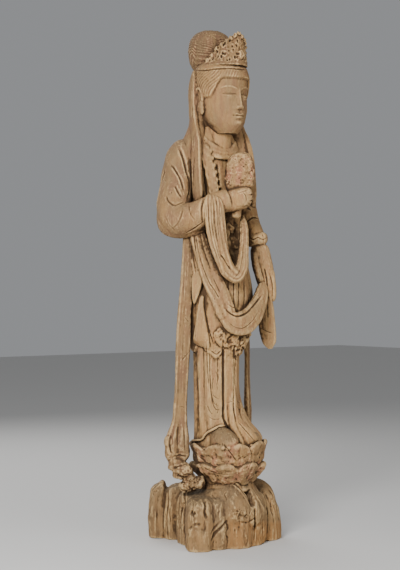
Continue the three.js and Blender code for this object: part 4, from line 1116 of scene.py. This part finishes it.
ROCK_STROKES = [
    # the worn hole, the deep crack and the hatched patch on the front
    groove(0.6, 0.5, -6.8, -14.7, -6.2, -15.1, -5.5, -14.9), groove(0.4, 0.4, -6.4, -15.3, -5.9, -15.9),
    groove(0.4, 1.0, -3.9, -12.2, -3.4, -13.4, -3.6, -14.8, -3.1, -16.2),
    groove(0.22, 0.14, -1.6, -10.5, -0.7, -11.5, -0.3, -12.7, -0.6, -13.8),
    groove(0.16, 0.17, -2.7, -11.4, -1.6, -12.7), groove(0.16, 0.17, -2.2, -11.1, -1.1, -12.3),
    groove(0.16, 0.17, -1.8, -10.8, -0.8, -11.8), groove(0.16, 0.15, -2.8, -12.2, -1.8, -13.4),
    groove(0.34, 0.2, -0.5, -14.4, -0.8, -15.5, -0.6, -16.6),
    groove(0.4, 0.2, -6.9, -18.2, -5.6, -17.4, -4.3, -17.5), ridge(0.5, 0.16, -3.0, -17.3, -3.1, -19.4),
    groove(0.5, 0.42, 1.2, -16.5, 0.1, -17.9, -1.5, -19.3, -2.2, -21.2),
    groove(0.3, 0.2, -0.2, -16.6, -1.5, -18.1, -2.4, -19.8),
    # the right front: smooth above, with knobs over upright splits
    groove(0.3, 0.3, 3.6, -16.7, 5.2, -17.1, 6.8, -16.2, 7.5, -14.4),
    groove(0.18, 0.34, 0.9, -16.9, 1.2, -18.0, 1.0, -19.2, 1.3, -20.9),
    groove(0.15, 0.26, 4.6, -17.2, 4.9, -18.3, 4.7, -19.3, 5.1, -20.9),
    groove(0.12, 0.16, 5.9, -17.0, 5.7, -18.6), groove(0.1, 0.12, 2.7, -18.4, 2.9, -20.4),
    groove(0.1, 0.1, 3.6, -17.6, 3.5, -18.6), groove(0.18, 0.14, 1.5, -11.8, 1.8, -14.6),
    # the hollow beside the arched lobe, and the feathered ribs over it
    groove(1.2, 1.5, 4.4, -8.0, 5.2, -9.8, 6.2, -12.0, 6.8, -13.6), groove(1.2, 1.2, 3.9, -7.8, 4.9, -8.8),
    groove(0.7, 0.9, 4.8, -9.0, 5.5, -10.6, 6.3, -12.4, 6.9, -13.8),
    groove(0.5, 0.6, -7.9, -10.2, -7.9, -13.2, -8.0, -16.4, -7.8, -20.4),
    ridge(0.34, 0.26, 1.6, -8.4, 3.2, -9.8, 4.8, -11.6, 6.1, -13.4),
    ridge(0.3, 0.22, 2.4, -8.2, 3.9, -9.6, 5.4, -11.6),
    groove(0.26, 0.24, 2.0, -8.4, 3.6, -9.8, 5.2, -11.8, 6.4, -13.6),
    groove(0.4, 0.7, 7.2, -13.8, 7.1, -16.8, 6.9, -20.8), ridge(0.5, 0.18, 6.1, -9.6, 7.6, -12.0, 9.2, -14.8),
    groove(0.3, 0.16, 9.0, -10.6, 10.4, -13.6, 11.0, -17.2), groove(0.2, 0.2, 8.6, -16.6, 8.7, -20),
    groove(0.2, 0.18, 10.2, -16.8, 10.2, -20.2),
    # the left side
    groove(0.4, 0.4, -11.4, -9.8, -11.4, -13.0, -11.7, -16.4, -11.4, -20),
    ridge(0.4, 0.14, -9.4, -14.6, -9.2, -20.4), groove(0.3, 0.16, -8.6, -10.4, -8.5, -14, -8.8, -18),
    groove(0.24, 0.12, -13.4, -11, -13.6, -15, -13.4, -19),
    groove(0.3, 0.14, -6.6, -9.6, -3.0, -10.0, 0.4, -9.8),
]


def grain_cracks(count, seed, left, right, low, high, depth):
    """Drying cracks that wander down the grain, scattered over a part of a drawing."""
    random = np.random.default_rng(seed)
    strokes = []
    for _ in range(count):
        s, z, length = random.uniform(left, right), random.uniform(low, high), random.uniform(1.5, 5.0)
        line = [(s + random.uniform(-0.25, 0.25), z - length * k / 3) for k in range(4)]
        strokes.append(groove(random.uniform(0.09, 0.15), depth * random.uniform(0.6, 1.2), *np.ravel(line)))
    return strokes


# The sides of the sleeves and hands that the photograph doesn't show
LEFT_SLEEVE_STROKES = [
    groove(0.36, 0.25, 9.6, 59, 8.4, 55.5, 7.6, 51.5), groove(0.34, 0.22, 10.6, 55, 9.0, 51.5, 8.4, 48.5),
    groove(0.32, 0.2, 6.4, 60, 6.2, 56, 6.6, 52.5), groove(0.28, 0.16, 10.8, 50, 9.4, 47.4, 8.4, 46.0),
    groove(0.28, 0.18, 4.8, 57, 5.2, 53, 6.0, 49.5),
]
FIST_STROKES = [groove(0.22, 0.16, -7.9, z - 0.2, -6.4, z + 0.1, -4.4, z, -3.2, z - 0.4) for z in (52.0, 50.7, 49.4)]
REAR_HAND_STROKES = [
    groove(0.2, 0.2, -8.1, 35.6, -8.6, 33, -8.8, 31.2), groove(0.22, 0.26, -8.9, 36.2, -9.4, 33, -9.6, 30.4),
    groove(0.2, 0.2, -9.8, 36.0, -10.2, 33, -10.3, 30.6),
]
REAR_SLEEVE_STROKES = [
    groove(0.36, 0.25, 4.6, 59.5, 6.0, 54, 7.6, 49), groove(0.34, 0.22, 8.4, 58, 9.4, 53, 10.6, 48.5),
    groove(0.3, 0.2, 6.6, 56, 8.4, 51, 9.6, 47.0), groove(0.28, 0.16, 6.0, 50, 7.6, 47.4, 9.4, 45.4),
]


def rock_clefts(seed, left, right):
    """Upright clefts for a side of the rock that no photo shows."""
    random = np.random.default_rng(seed)
    strokes = []
    for s in np.arange(left, right, 2.6) + 1.3:
        start, lean = s + random.uniform(-0.9, 0.9), random.uniform(-0.5, 0.5)
        low, high = random.uniform(-21.5, -17), random.uniform(-14, -9.5)
        line = [(start + lean * k / 4 + random.uniform(-0.12, 0.12), low + (high - low) * k / 4) for k in range(5)]
        strokes.append(groove(random.uniform(0.2, 0.5), random.uniform(0.2, 0.6), *np.ravel(line)))
    return strokes + grain_cracks(10, seed + 20, left, right, -16, -11, 0.35)


# Materials

class Wire:
    """A shader socket that can be added, taken away and multiplied as a number."""

    def __init__(self, graph, socket):
        self.graph, self.socket = graph, socket

    def _math(self, operation, first, second):
        return self.graph.node("ShaderNodeMath", {"operation": operation}, first, second)

    def __add__(self, other):
        return self._math("ADD", self, other)

    def __sub__(self, other):
        return self._math("SUBTRACT", self, other)

    def __rsub__(self, other):
        return self._math("SUBTRACT", other, self)

    def __mul__(self, other):
        return self._math("MULTIPLY", self, other)

    __radd__, __rmul__ = __add__, __mul__


class Graph:
    """A material's nodes."""

    def __init__(self, name):
        self.material = bpy.data.materials.new(name)
        self.material.use_nodes = True
        self.tree = self.material.node_tree
        self.shader = self.tree.nodes["Principled BSDF"]

    def node(self, kind, settings=None, *values, output=0, **named):
        """Adds any node, with its settings, then its sockets in order and by name, and gives back an output."""
        made = self.tree.nodes.new(kind)
        for key, value in (settings or {}).items():
            setattr(made, key, value)
        for key, value in list(enumerate(values)) + [(key.replace("_", " "), value) for key, value in named.items()]:
            self.feed(made.inputs[key], value)
        return Wire(self, made.outputs[output])

    def feed(self, socket, value):
        """Links a wire to a socket, or sets the socket's own value."""
        if isinstance(value, Wire):
            self.tree.links.new(value.socket, socket)
        else:
            socket.default_value = value

    def mix(self, factor, first, second):
        """Blends two colours."""
        made = self.tree.nodes.new("ShaderNodeMix")
        made.data_type = "RGBA"
        self.feed(made.inputs[0], factor)
        for socket, value in ((made.inputs[6], first), (made.inputs[7], second)):
            self.feed(socket, value if isinstance(value, Wire) else (*value, 1.0))
        return Wire(self, made.outputs[2])

    def attribute(self, name):
        """Reads what was stored for each point."""
        return self.node("ShaderNodeAttribute", {"attribute_name": name}, output="Fac")

    def noise(self, scale, detail, stretch, rough=0.55):
        """Noise on the object's own coordinates."""
        where = self.node("ShaderNodeTexCoord", output="Object")
        where = self.node("ShaderNodeMapping", None, Vector=where, Scale=stretch)
        return self.node("ShaderNodeTexNoise", None, Vector=where, Scale=scale, Detail=detail, Roughness=rough)

    def ramp(self, value, low, high):
        """Value brought smoothly to 0 at low and 1 at high."""
        smooth = {"interpolation_type": "SMOOTHSTEP"}
        return self.node("ShaderNodeMapRange", smooth, Value=value, From_Min=low, From_Max=high)


def wood_material(colours):
    """Old wood with dust on ledges, dirt and painted shade in hollows, grime with painted shade, worn edges with a
    painted highlight, and traces of paint.
    """
    graph = Graph(SLOT)
    names = ("hollow", "edge", "dust", "pigment", "fresh", "dark", "grime_and_shade")
    hollow, edge, dust, pigment, fresh, dark, grime_and_shade = (graph.attribute(name) for name in names)
    fibre = graph.noise(620.0, 3.0, (1, 1, 0.09), 0.6)
    streak = graph.noise(170.0, 5.0, (1, 1, 0.07), 0.6)
    patch = graph.noise(22.0, 6.0, (1, 1, 0.5), 0.6)
    speck = graph.noise(260.0, 4.0, (1, 1, 0.7), 0.7)
    stain_and_crevice_shade = graph.noise(60.0, 5.0, (1, 1, 0.35), 0.65)
    colour = graph.mix(graph.ramp(patch, 0.36, 0.64), colours.body, colours.grey)
    colour = graph.mix(graph.ramp(streak, 0.42, 0.66) * 0.55, colour, colours.red)
    colour = graph.mix(graph.ramp(stain_and_crevice_shade, 0.54, 0.72) * 0.42, colour, colours.shadow)
    colour = graph.mix(graph.ramp(fibre, 0.5, 0.7) * 0.25, colour, colours.shadow)
    colour = graph.mix(graph.ramp(speck, 0.52, 0.7) * 0.4, colour, colours.pale)
    colour = graph.mix(fresh * graph.ramp(streak, 0.25, 0.55) * 0.85, colour, colours.fresh)
    # grime and painted shade: darker weathered wood, with painted shade in amounts set piece by piece
    colour = graph.mix(grime_and_shade * (graph.ramp(stain_and_crevice_shade + patch * 0.6, 0.6, 1.05) * 0.55 + 0.5), colour, colours.grime_and_shade)
    colour = graph.mix(pigment * graph.ramp(stain_and_crevice_shade, 0.44, 0.6), colour, colours.pigment)
    # dirt and painted shade in hollows and creases
    colour = graph.mix(graph.ramp(hollow + stain_and_crevice_shade * 0.12, 0.1, 0.8) * 0.94, colour, colours.shadow)
    colour = graph.mix(dust * graph.ramp(speck, 0.3, 0.6), colour, colours.dust)
    # worn edges, partly a painted highlight
    colour = graph.mix(graph.ramp(edge, 0.15, 0.85) * graph.ramp(stain_and_crevice_shade, 0.35, 0.58) * 0.7, colour, colours.pale)
    # painted shade inside cuts, holes, splits and the most sheltered places
    colour = graph.mix(dark, colour, colours.pit)
    shader = graph.shader
    graph.feed(shader.inputs["Base Color"], colour)
    graph.feed(shader.inputs["Roughness"], 0.9 - graph.ramp(edge + speck * 0.3, 0.1, 1.2) * 0.25)
    fine = graph.noise(1700.0, 2.0, (1, 1, 0.12))
    height = fibre * 0.6 + fine * 0.25 + speck * 0.5 + streak * 0.6
    relief = graph.node("ShaderNodeBump", None, Strength=0.7, Distance=0.0016, Height=height)
    graph.feed(shader.inputs["Normal"], relief)
    shader.inputs["Specular IOR Level"].default_value = 0.25
    return graph.material


def store(piece, name, values):
    """Keeps a value for each point, for the material to read."""
    layer = piece.data.attributes.new(name, "FLOAT", "POINT")
    layer.data.foreach_set("value", np.asarray(values, np.float32))


SHELTER_SHARE, SHELTER_REACH, OFF_SURFACE = 0.35, 9.0, 0.12
RELIEF_SCALES = ((3, 3.0), (12, 2.8), (36, 1.4))  # times evened out, and the weight of what that takes away


def occlusion(surface, tree, rays, seed):
    """The share of rays from each point that are soon stopped, found at about one point in three and evened out."""
    random = np.random.default_rng(seed)
    chosen = np.flatnonzero(random.random(len(surface.points)) < SHELTER_SHARE)
    points, normals = surface.points[chosen], surface.normals[chosen]
    hidden = np.zeros(len(chosen))
    start = (points + normals * OFF_SURFACE).tolist()
    for _ in range(rays):
        spread = unit(unit(random.normal(size=points.shape)) + normals * 1.05)
        hidden += [tree.ray_cast(a, b, SHELTER_REACH)[0] is not None for a, b in zip(start, spread.tolist())]
    values = np.zeros((len(surface.points), 2))
    values[chosen, 0], values[chosen, 1] = hidden / rays, 1
    values = surface.blur(values, 5)
    return values[:, 0] / np.maximum(values[:, 1], 1e-6)


def wear_and_shade(name, surface, hidden):
    """What the wood's material reads at each point of a piece: dirt and painted shade in hollows, worn edges with a
    painted highlight, dust on ledges, traces of pigment, freshly broken wood, the grime of handling mixed with painted
    shade, and painted shade inside cracks."""
    p, normal = surface.points, surface.normals
    relief = sum(((p - surface.blur(p, times)) * normal).sum(1) * gain for times, gain in RELIEF_SCALES)
    s, z, _ = surface.from_view()
    nowhere = 0 * z
    if name == "robe":  # the breast and the collar get less painted shade than the rest
        hidden = hidden * (1 - 0.5 * smoothstep(z, 49.0, 52.0) - 0.25 * smoothstep(z, 59.5, 61.0))
    bud = bump(z - 56.5, 3.5) * (s > 0)
    pigment = {"lotus": 0.75 * smoothstep(-z, -1.5, 0.5), "arms": 0.2 + 0.75 * bud, "rock": nowhere}
    # grime and painted shade: darker wood set piece by piece, heavier towards the left of the front drawing and on the
    # rock's upward faces
    grime_and_shade = {"rock": 0.75 * (1 - 0.6 * smoothstep(s, 5, 8)) + 0.4 * np.clip(normal[:, 2], 0, 1),
             "lotus": 0.5 + 0.5 * smoothstep(z, -1.0, 0.5),
             "robe": 0.08 + 0.45 * smoothstep(z, 48, 56) * smoothstep(-s, 0, 4),
             "arms": 0.22 + 0.6 * smoothstep(-s, 3.0, 8.0) + 0.4 * bud,
             "scarves": 0.5 - 0.2 * smoothstep(s, 0, 3),
             "ribbons": 0.95 + 0.15 * smoothstep(-z, -6, 0),
             "head": 0.62 + 0.35 * smoothstep(-s, 3, 6),
             "headdress": 1.25 - 0.35 * smoothstep(s, 0, 4)}
    return {
        # dirt and painted shade in hollows and sheltered places
        "hollow": np.clip(np.clip(-relief * 3.2, 0, 1) * 0.7 + np.clip(hidden - 0.18, 0, 1) * 1.5, 0, 1),
        # worn edges, partly a painted highlight
        "edge": np.clip(relief * 3.0, 0, 1) * (1 - hidden),
        "dust": np.clip(normal[:, 2] * 1.4 - 0.4, 0, 1) * (0.8 if name in ("rock", "lotus") else 0.45),
        "pigment": pigment.get(name, 0.22 + nowhere),
        "fresh": smoothstep(-z, 16.2, 17.4) * smoothstep(s, 0.8, 2.0) if name == "rock" else nowhere,
        "grime_and_shade": grime_and_shade[name],
        # painted shade inside cuts, holes and splits and in the most sheltered places
        "dark": np.clip(surface.stain_and_crevice_shade * 0.85 + np.clip(hidden - 0.72, 0, 1) * 2.0, 0, 1),
    }


def lighten(piece, most):
    """Thins a mesh that has too many triangles."""
    count = 2 * len(piece.data.polygons)
    if count <= most:
        return
    choose(piece)
    modify(piece, "DECIMATE", ratio=most / count)
    bpy.ops.object.shade_smooth()


# Settings

class CarvingSettings(bpy.types.PropertyGroup):
    """Sizes of the carving."""
    voxel: FloatProperty(name="Cut", description="Smallest detail of the carved skins", default=0.0014, unit="LENGTH")
    fine_voxel: FloatProperty(name="Fine cut", description="Smallest detail of the head", default=0.0011, unit="LENGTH")
    # the rays find the sheltered places that get dirt and painted shade
    rays: IntProperty(name="Shelter", description="Rays from each point, to find where dust and dark gather", default=8)
    triangles: IntProperty(name="Triangles", description="Most triangles in one piece", default=120000)


class WoodSettings(bpy.types.PropertyGroup):
    """Colours of the old wood."""
    body: FloatVectorProperty(name="Body", description="Bare wood", default=(0.415, 0.238, 0.09), subtype="COLOR")
    grey: FloatVectorProperty(name="Grey", description="Bleached wood", default=(0.37, 0.233, 0.104), subtype="COLOR")
    red: FloatVectorProperty(name="Red", description="Red-brown streaks", default=(0.32, 0.155, 0.058), subtype="COLOR")
    # dirt and painted shade in hollows, and the dark of stains and grain
    shadow: FloatVectorProperty(name="Shadow", description="Dirt in hollows", default=(0.055, 0.028, 0.012),
                                subtype="COLOR")
    # painted shade inside cracks, holes and splits
    pit: FloatVectorProperty(name="Pit", description="Inside cracks", default=(0.01, 0.007, 0.005), subtype="COLOR")
    dust: FloatVectorProperty(name="Dust", description="Dust on ledges", default=(0.19, 0.133, 0.07), subtype="COLOR")
    # worn edges, partly a painted highlight, and pale specks
    pale: FloatVectorProperty(name="Pale", description="Worn edges and pale specks", default=(0.58, 0.39, 0.178),
                              subtype="COLOR")
    # darker weathered wood, and painted shade
    grime_and_shade: FloatVectorProperty(name="Grime", description="Dark handled wood", default=(0.122, 0.073, 0.037),
                               subtype="COLOR")
    pigment: FloatVectorProperty(name="Pigment", description="Red pigment left", default=(0.36, 0.16, 0.085),
                                 subtype="COLOR")
    fresh: FloatVectorProperty(name="Fresh", description="Freshly broken wood", default=(0.44, 0.21, 0.065),
                               subtype="COLOR")


class StageSettings(bpy.types.PropertyGroup):
    """The studio."""
    distance: FloatProperty(name="Camera distance", description="From the figure's axis", default=3.0, unit="LENGTH")
    height: FloatProperty(name="Camera height", description="Above the floor", default=0.54, unit="LENGTH")
    lens: FloatProperty(name="Lens", description="Focal length", default=90.0, unit="CAMERA")
    aside: FloatProperty(name="Aside", description="The camera's step to the left", default=0.046, unit="LENGTH")


# Operators

def settings():
    """The carving's settings in the open scene."""
    return bpy.context.scene.carving


def cut_size(fine=False):
    """The width of the squares in a piece's skin."""
    size = settings().fine_voxel if fine else settings().voxel
    return size * 1.0


def carve(name, forms, fine=False, smooth=2):
    """Cuts a piece roughly out of its block."""
    return Surface(one_block(name, forms, cut_size(fine), smooth))


class OBJECT_OT_carve_rock(bpy.types.Operator):
    """Carve the rock under the lotus"""
    bl_idname = "object.carve_rock"
    bl_label = "Carve rock"

    def execute(self, context):
        surface = carve("rockwork", rock_forms())
        surface.floor = FLOOR
        p = surface.points
        low = smoothstep(-p[:, 2], 7.5, 9.5)
        lumps = layered(p * [0.28, 0.28, 0.17], 3, 5)
        ribs = layered(p * [0.8, 0.8, 0.16], 3, 6)
        surface.raise_by(low * (0.3 * lumps + 0.07 * ribs))
        chisel(surface, ROCK_STROKES)
        for turn, seed, left, right in ((90, 4, -3.5, 10.5), (180, 5, -10.5, 10.5), (-90, 6, -10.5, 3.5)):
            chisel(surface, rock_clefts(seed, left, right), VIEW + turn)
        surface = new_skin(surface)
        low = smoothstep(-surface.points[:, 2], 7.5, 9.5)
        chisel(surface, grain_cracks(12, 3, -14, 12, -16, -10, 0.16))
        s, z, facing = surface.from_view()
        nodules = bump(s - 4.4, 2.6) * bump(z + 15.4, 1.2) * smoothstep(facing, 0.0, 0.4)
        surface.raise_by(nodules * 0.3 * layered(surface.points * 0.9, 3, 34))
        pock(surface, 0.8, 0.12, nodules, 14, 1.0, 0.05)
        pock(surface, 0.7, 0.07, smoothstep(noise(surface.points * 0.2, 3), 0.1, 0.4) * low, 15)
        weather(surface, 0.035, 0.09, 0.07, 5)
        finish_piece("rock", surface)
        return {"FINISHED"}


class OBJECT_OT_carve_lotus(bpy.types.Operator):
    """Carve the lotus and the feet on it"""
    bl_idname = "object.carve_lotus"
    bl_label = "Carve lotus"

    def execute(self, context):
        surface = carve("lotus_and_feet", lotus_forms())
        chisel(surface, LOTUS_STROKES)
        p = surface.points
        worn = smoothstep(-p[:, 2], 0.0, 2.0)
        surface.raise_by(worn * (0.22 * layered(p * 0.7, 3, 8)))
        pock(surface, 0.8, 0.1, worn * 0.7, 9, 1.0)
        weather(surface, 0.02, 0.06, 0.0, 11)
        worm_holes(surface, 40, 31)
        finish_piece("lotus", surface)
        return {"FINISHED"}


class OBJECT_OT_carve_robe(bpy.types.Operator):
    """Carve the robe's trunk and its folds"""
    bl_idname = "object.carve_robe"
    bl_label = "Carve robe"

    def execute(self, context):
        surface = carve("carved_robe", robe_forms())
        # The skirt's left edge stands back, so that the long ribbon beside it shows
        s, z, _ = surface.from_view()
        back = 1.25 * smoothstep(s, 2.2, 5.6) * smoothstep(z, 0.5, 5.0) * (1 - smoothstep(z, 18.5, 23.0))
        surface.points -= directions()[0] * back[:, None]
        surface.refresh()
        chisel(surface, SKIRT_STROKES + grain_cracks(6, 8, -5.5, 4, 5, 19, 0.12))
        sink(surface, (0.95, 18.6, 0.13, 0.2), (1.5, 18.7, 0.12, 0.16), (2.0, 18.5, 0.13, 0.2), (1.15, 17.1, 0.18, 0.3))
        chisel(surface, BACK_STROKES, 180.0)
        # The belly's foot is eaten below the outer scarf
        s, z, _ = surface.from_view()
        worn = bump(s - 2.0, 4.2) * bump(z - 21.0, 4.0) * (surface.points[:, 1] < 0)
        surface.raise_by(worn * (0.22 * layered(surface.points * 1.1, 3, 12) - 0.1))
        pock(surface, 0.7, 0.12, worn, 13, 1.2)
        weather(surface, 0.018, 0.04, 0.03, 1)
        worm_holes(surface, 80, 21)
        finish_piece("robe", surface)
        return {"FINISHED"}


class OBJECT_OT_carve_arms(bpy.types.Operator):
    """Carve the sleeves, the hands and the bud"""
    bl_idname = "object.carve_arms"
    bl_label = "Carve arms"

    def execute(self, context):
        surface = carve("carved_arms", arm_forms())
        chisel(surface, SLEEVE_STROKES)
        chisel(surface, LEFT_SLEEVE_STROKES, 60.0)
        chisel(surface, FIST_STROKES, 52.0)
        chisel(surface, REAR_HAND_STROKES, 142.0)
        chisel(surface, REAR_SLEEVE_STROKES, -150.0)
        s, z, _ = surface.from_view()
        p = surface.points
        bud = smoothstep(z, 53.4, 54.4) * smoothstep(s, 0.0, 0.8) * (1 - smoothstep(s, 7.2, 8.4)) * (p[:, 1] < 1)
        surface.raise_by(bud * (0.24 * layered(p * 0.55, 2, 17) + 0.07 * layered(p * 1.8, 3, 37)))
        pock(surface, 0.6, 0.11, bud, 18, 1.1)
        pock(surface, 0.3, 0.05, bud, 19, 1.0)
        weather(surface, 0.02, 0.05, 0.03, 2)
        worm_holes(surface, 80, 22)
        finish_piece("arms", surface)
        return {"FINISHED"}


class OBJECT_OT_carve_scarves(bpy.types.Operator):
    """Carve the looped scarves and the long ribbons"""
    bl_idname = "object.carve_scarves"
    bl_label = "Carve scarves"

    def execute(self, context):
        surface = carve("looped_scarves", scarf_forms())
        chisel(surface, SCARF_STROKES)
        sink(surface, (3.1, 25.3, 0.2, 0.3))
        weather(surface, 0.02, 0.045, 0.03, 3)
        worm_holes(surface, 60, 23)
        finish_piece("scarves", surface)
        surface = carve("long_ribbons", ribbon_forms())
        chisel(surface, RIBBON_STROKES)
        sink(surface, (-8.5, 14.6, 0.18, 0.25), (-8.3, 14.1, 0.15, 0.2))
        p = surface.points
        foot = smoothstep(-p[:, 2], -1.0, 2.0) * (p[:, 0] < 0)
        knob = smoothstep(-p[:, 2], 5.4, 6.4) * (p[:, 0] < 0)
        surface.raise_by(foot * 0.2 * layered(p * 0.8, 3, 27) + knob * 0.3 * layered(p * 1.3, 3, 57))
        pock(surface, 0.5, 0.13, knob, 28, 1.0)
        pock(surface, 0.6, 0.1, foot * 0.6, 29, 1.0)
        weather(surface, 0.022, 0.06, 0.04, 4)
        worm_holes(surface, 50, 24)
        finish_piece("ribbons", surface)
        return {"FINISHED"}


class OBJECT_OT_carve_head(bpy.types.Operator):
    """Carve the head and the veil, then the hair knot and the crown"""
    bl_idname = "object.carve_head"
    bl_label = "Carve head"

    def execute(self, context):
        surface = carve("carved_head", head_forms(), fine=True, smooth=1)
        chisel(surface, HEAD_STROKES)
        weather(surface, 0.012, 0.03, 0.0, 6)
        _, y, z = surface.points.T
        surface.stain_and_crevice_shade[(y < -3) & (z < 76) & (z > 65)] *= 0.4  # the face gets less painted shade in its cuts than the rest
        finish_piece("head", surface)
        surface = carve("hair_knot_and_crown", headdress_forms(), fine=True, smooth=1)
        # Scrolls are pierced through the crown's wall, and it is eaten between them
        x, y, z = surface.points.T
        angle = np.degrees(np.arctan2(x, CROWN_Y - y))
        out = np.hypot(x / CROWN_HALF_WIDTH, (y - CROWN_Y) / CROWN_HALF_DEPTH)
        wall = smoothstep(out, 0.86, 0.92) * (np.abs(angle) < 88) * smoothstep(z, 79.15, 79.45)
        near = cells(np.stack([angle * 5.8 * math.pi / 180 / 0.85, z / 1.3], -1), 41)
        ragged = 0.21 + 0.1 * noise(surface.points * 1.8, 44)
        boss = bump(np.hypot(x - BOSS[0], z - BOSS[2]), 0.9)
        holes = wall * np.clip(1.2 - (near / ragged) ** 2, 0, 1) * (1 - np.clip(boss * 1.4, 0, 1))
        # painted shade in the pierced holes
        surface.stain_and_crevice_shade = np.maximum(surface.stain_and_crevice_shade, np.clip(holes * 0.8 - 0.15, 0, 0.6))
        rims = 0.08 * wall * bump(near - 0.45, 0.12)
        surface.raise_by(-0.36 * holes + rims + 0.08 * wall * noise(surface.points * 2.2, 45))
        weather(surface, 0.018, 0.04, 0.03, 7)
        worm_holes(surface, 40, 26)
        finish_piece("headdress", surface)
        return {"FINISHED"}


class OBJECT_OT_finish_wood(bpy.types.Operator):
    """Find where dirt, dust, wear and painted shade go, and give the wood its material"""
    bl_idname = "object.finish_wood"
    bl_label = "Finish wood"

    def execute(self, context):
        points, faces, offset = [], [], 0
        for surface in PIECES.values():
            points.append(surface.points)
            faces += (surface.faces + offset).tolist()
            offset += len(surface.points)
        tree = BVHTree.FromPolygons(np.concatenate(points).tolist(), faces)
        wood = wood_material(context.scene.wood)
        for number, (name, surface) in enumerate(PIECES.items()):
            # how sheltered each point is, for the dirt and painted shade in its hollows
            hidden = occlusion(surface, tree, settings().rays, number)
            for attribute, values in wear_and_shade(name, surface, hidden).items():
                store(surface.piece, attribute, values)
            surface.piece.data.materials.clear()
            surface.piece.data.materials.append(wood)
            lighten(surface.piece, settings().triangles)
        return {"FINISHED"}


SENSOR, FLOOR_SIZE, LIT_HEIGHT = 36.0, 14.0, 0.5
# Name, metres towards the camera, to its right and up, power and size
LIGHTS = (("key", 2.0, -0.6, 1.35, 70.0, 0.7), ("fill", 1.6, 1.7, 1.0, 17.0, 1.5), ("back", -1.7, -0.9, 1.7, 26.0, 1.6))


class SCENE_OT_set_stage(bpy.types.Operator):
    """Set the floor, the lights and the camera"""
    bl_idname = "scene.set_stage"
    bl_label = "Set stage"

    def execute(self, context):
        scene, stage = context.scene, context.scene.stage
        side, out = (Vector(direction) for direction in directions())
        up = Vector((0, 0, 1))
        deselect()
        bpy.ops.object.camera_add(location=out * stage.distance - side * stage.aside + up * stage.height,
                                  rotation=(math.pi / 2, 0, math.radians(VIEW)))
        camera = context.object
        camera.data.lens, camera.data.sensor_width = stage.lens, SENSOR
        scene.camera = camera
        deselect()
        bpy.ops.mesh.primitive_plane_add(size=FLOOR_SIZE, location=(0, 0, 0))
        floor = context.object
        floor.name = "floor"
        graph = Graph("pale_floor")
        graph.shader.inputs["Base Color"].default_value = (0.62, 0.61, 0.59, 1)
        graph.shader.inputs["Roughness"].default_value = 0.75
        floor.data.materials.append(graph.material)
        for name, forwards, right, height, energy, size in LIGHTS:
            deselect()
            where = out * forwards + side * right + up * height
            aim = up * LIT_HEIGHT - where
            bpy.ops.object.light_add(type="AREA", location=where, rotation=aim.to_track_quat("-Z", "Y").to_euler())
            context.object.name = name
            context.object.data.energy, context.object.data.size = energy, size
        world = bpy.data.worlds.new("studio")
        world.use_nodes = True
        sky = world.node_tree.nodes["Background"]
        sky.inputs["Color"].default_value = (0.82, 0.84, 0.87, 1)
        sky.inputs["Strength"].default_value = 0.34
        scene.world = world
        return {"FINISHED"}


OPERATORS = (OBJECT_OT_carve_rock, OBJECT_OT_carve_lotus, OBJECT_OT_carve_robe, OBJECT_OT_carve_arms,
             OBJECT_OT_carve_scarves, OBJECT_OT_carve_head, OBJECT_OT_finish_wood, SCENE_OT_set_stage)


class VIEW3D_PT_carving(bpy.types.Panel):
    """Settings and steps of the carving"""
    bl_label = "Carved Guanyin"
    bl_space_type = "VIEW_3D"
    bl_region_type = "UI"
    bl_category = "Carving"

    def draw(self, context):
        for group in (context.scene.carving, context.scene.wood, context.scene.stage):
            box = self.layout.box()
            for name in group.__annotations__:
                box.prop(group, name)
        for operator in OPERATORS:
            self.layout.operator(operator.bl_idname)


GROUPS = {"carving": CarvingSettings, "wood": WoodSettings, "stage": StageSettings}
CLASSES = (*GROUPS.values(), *OPERATORS, VIEW3D_PT_carving)


def register():
    """Adds the settings, the operators and the panel to Blender."""
    for cls in CLASSES:
        bpy.utils.register_class(cls)
    for name, group in GROUPS.items():
        setattr(bpy.types.Scene, name, PointerProperty(type=group))


def unregister():
    """Takes them away again."""
    for name in GROUPS:
        delattr(bpy.types.Scene, name)
    for cls in reversed(CLASSES):
        bpy.utils.unregister_class(cls)


def main():
    """Carves the figure and sets its stage, in order."""
    register()
    for operator in OPERATORS:
        group, name = operator.bl_idname.split(".")
        if getattr(getattr(bpy.ops, group), name)() != {"FINISHED"}:
            raise RuntimeError(operator.bl_label + " did not finish")


if __name__ == "__main__":
    main()
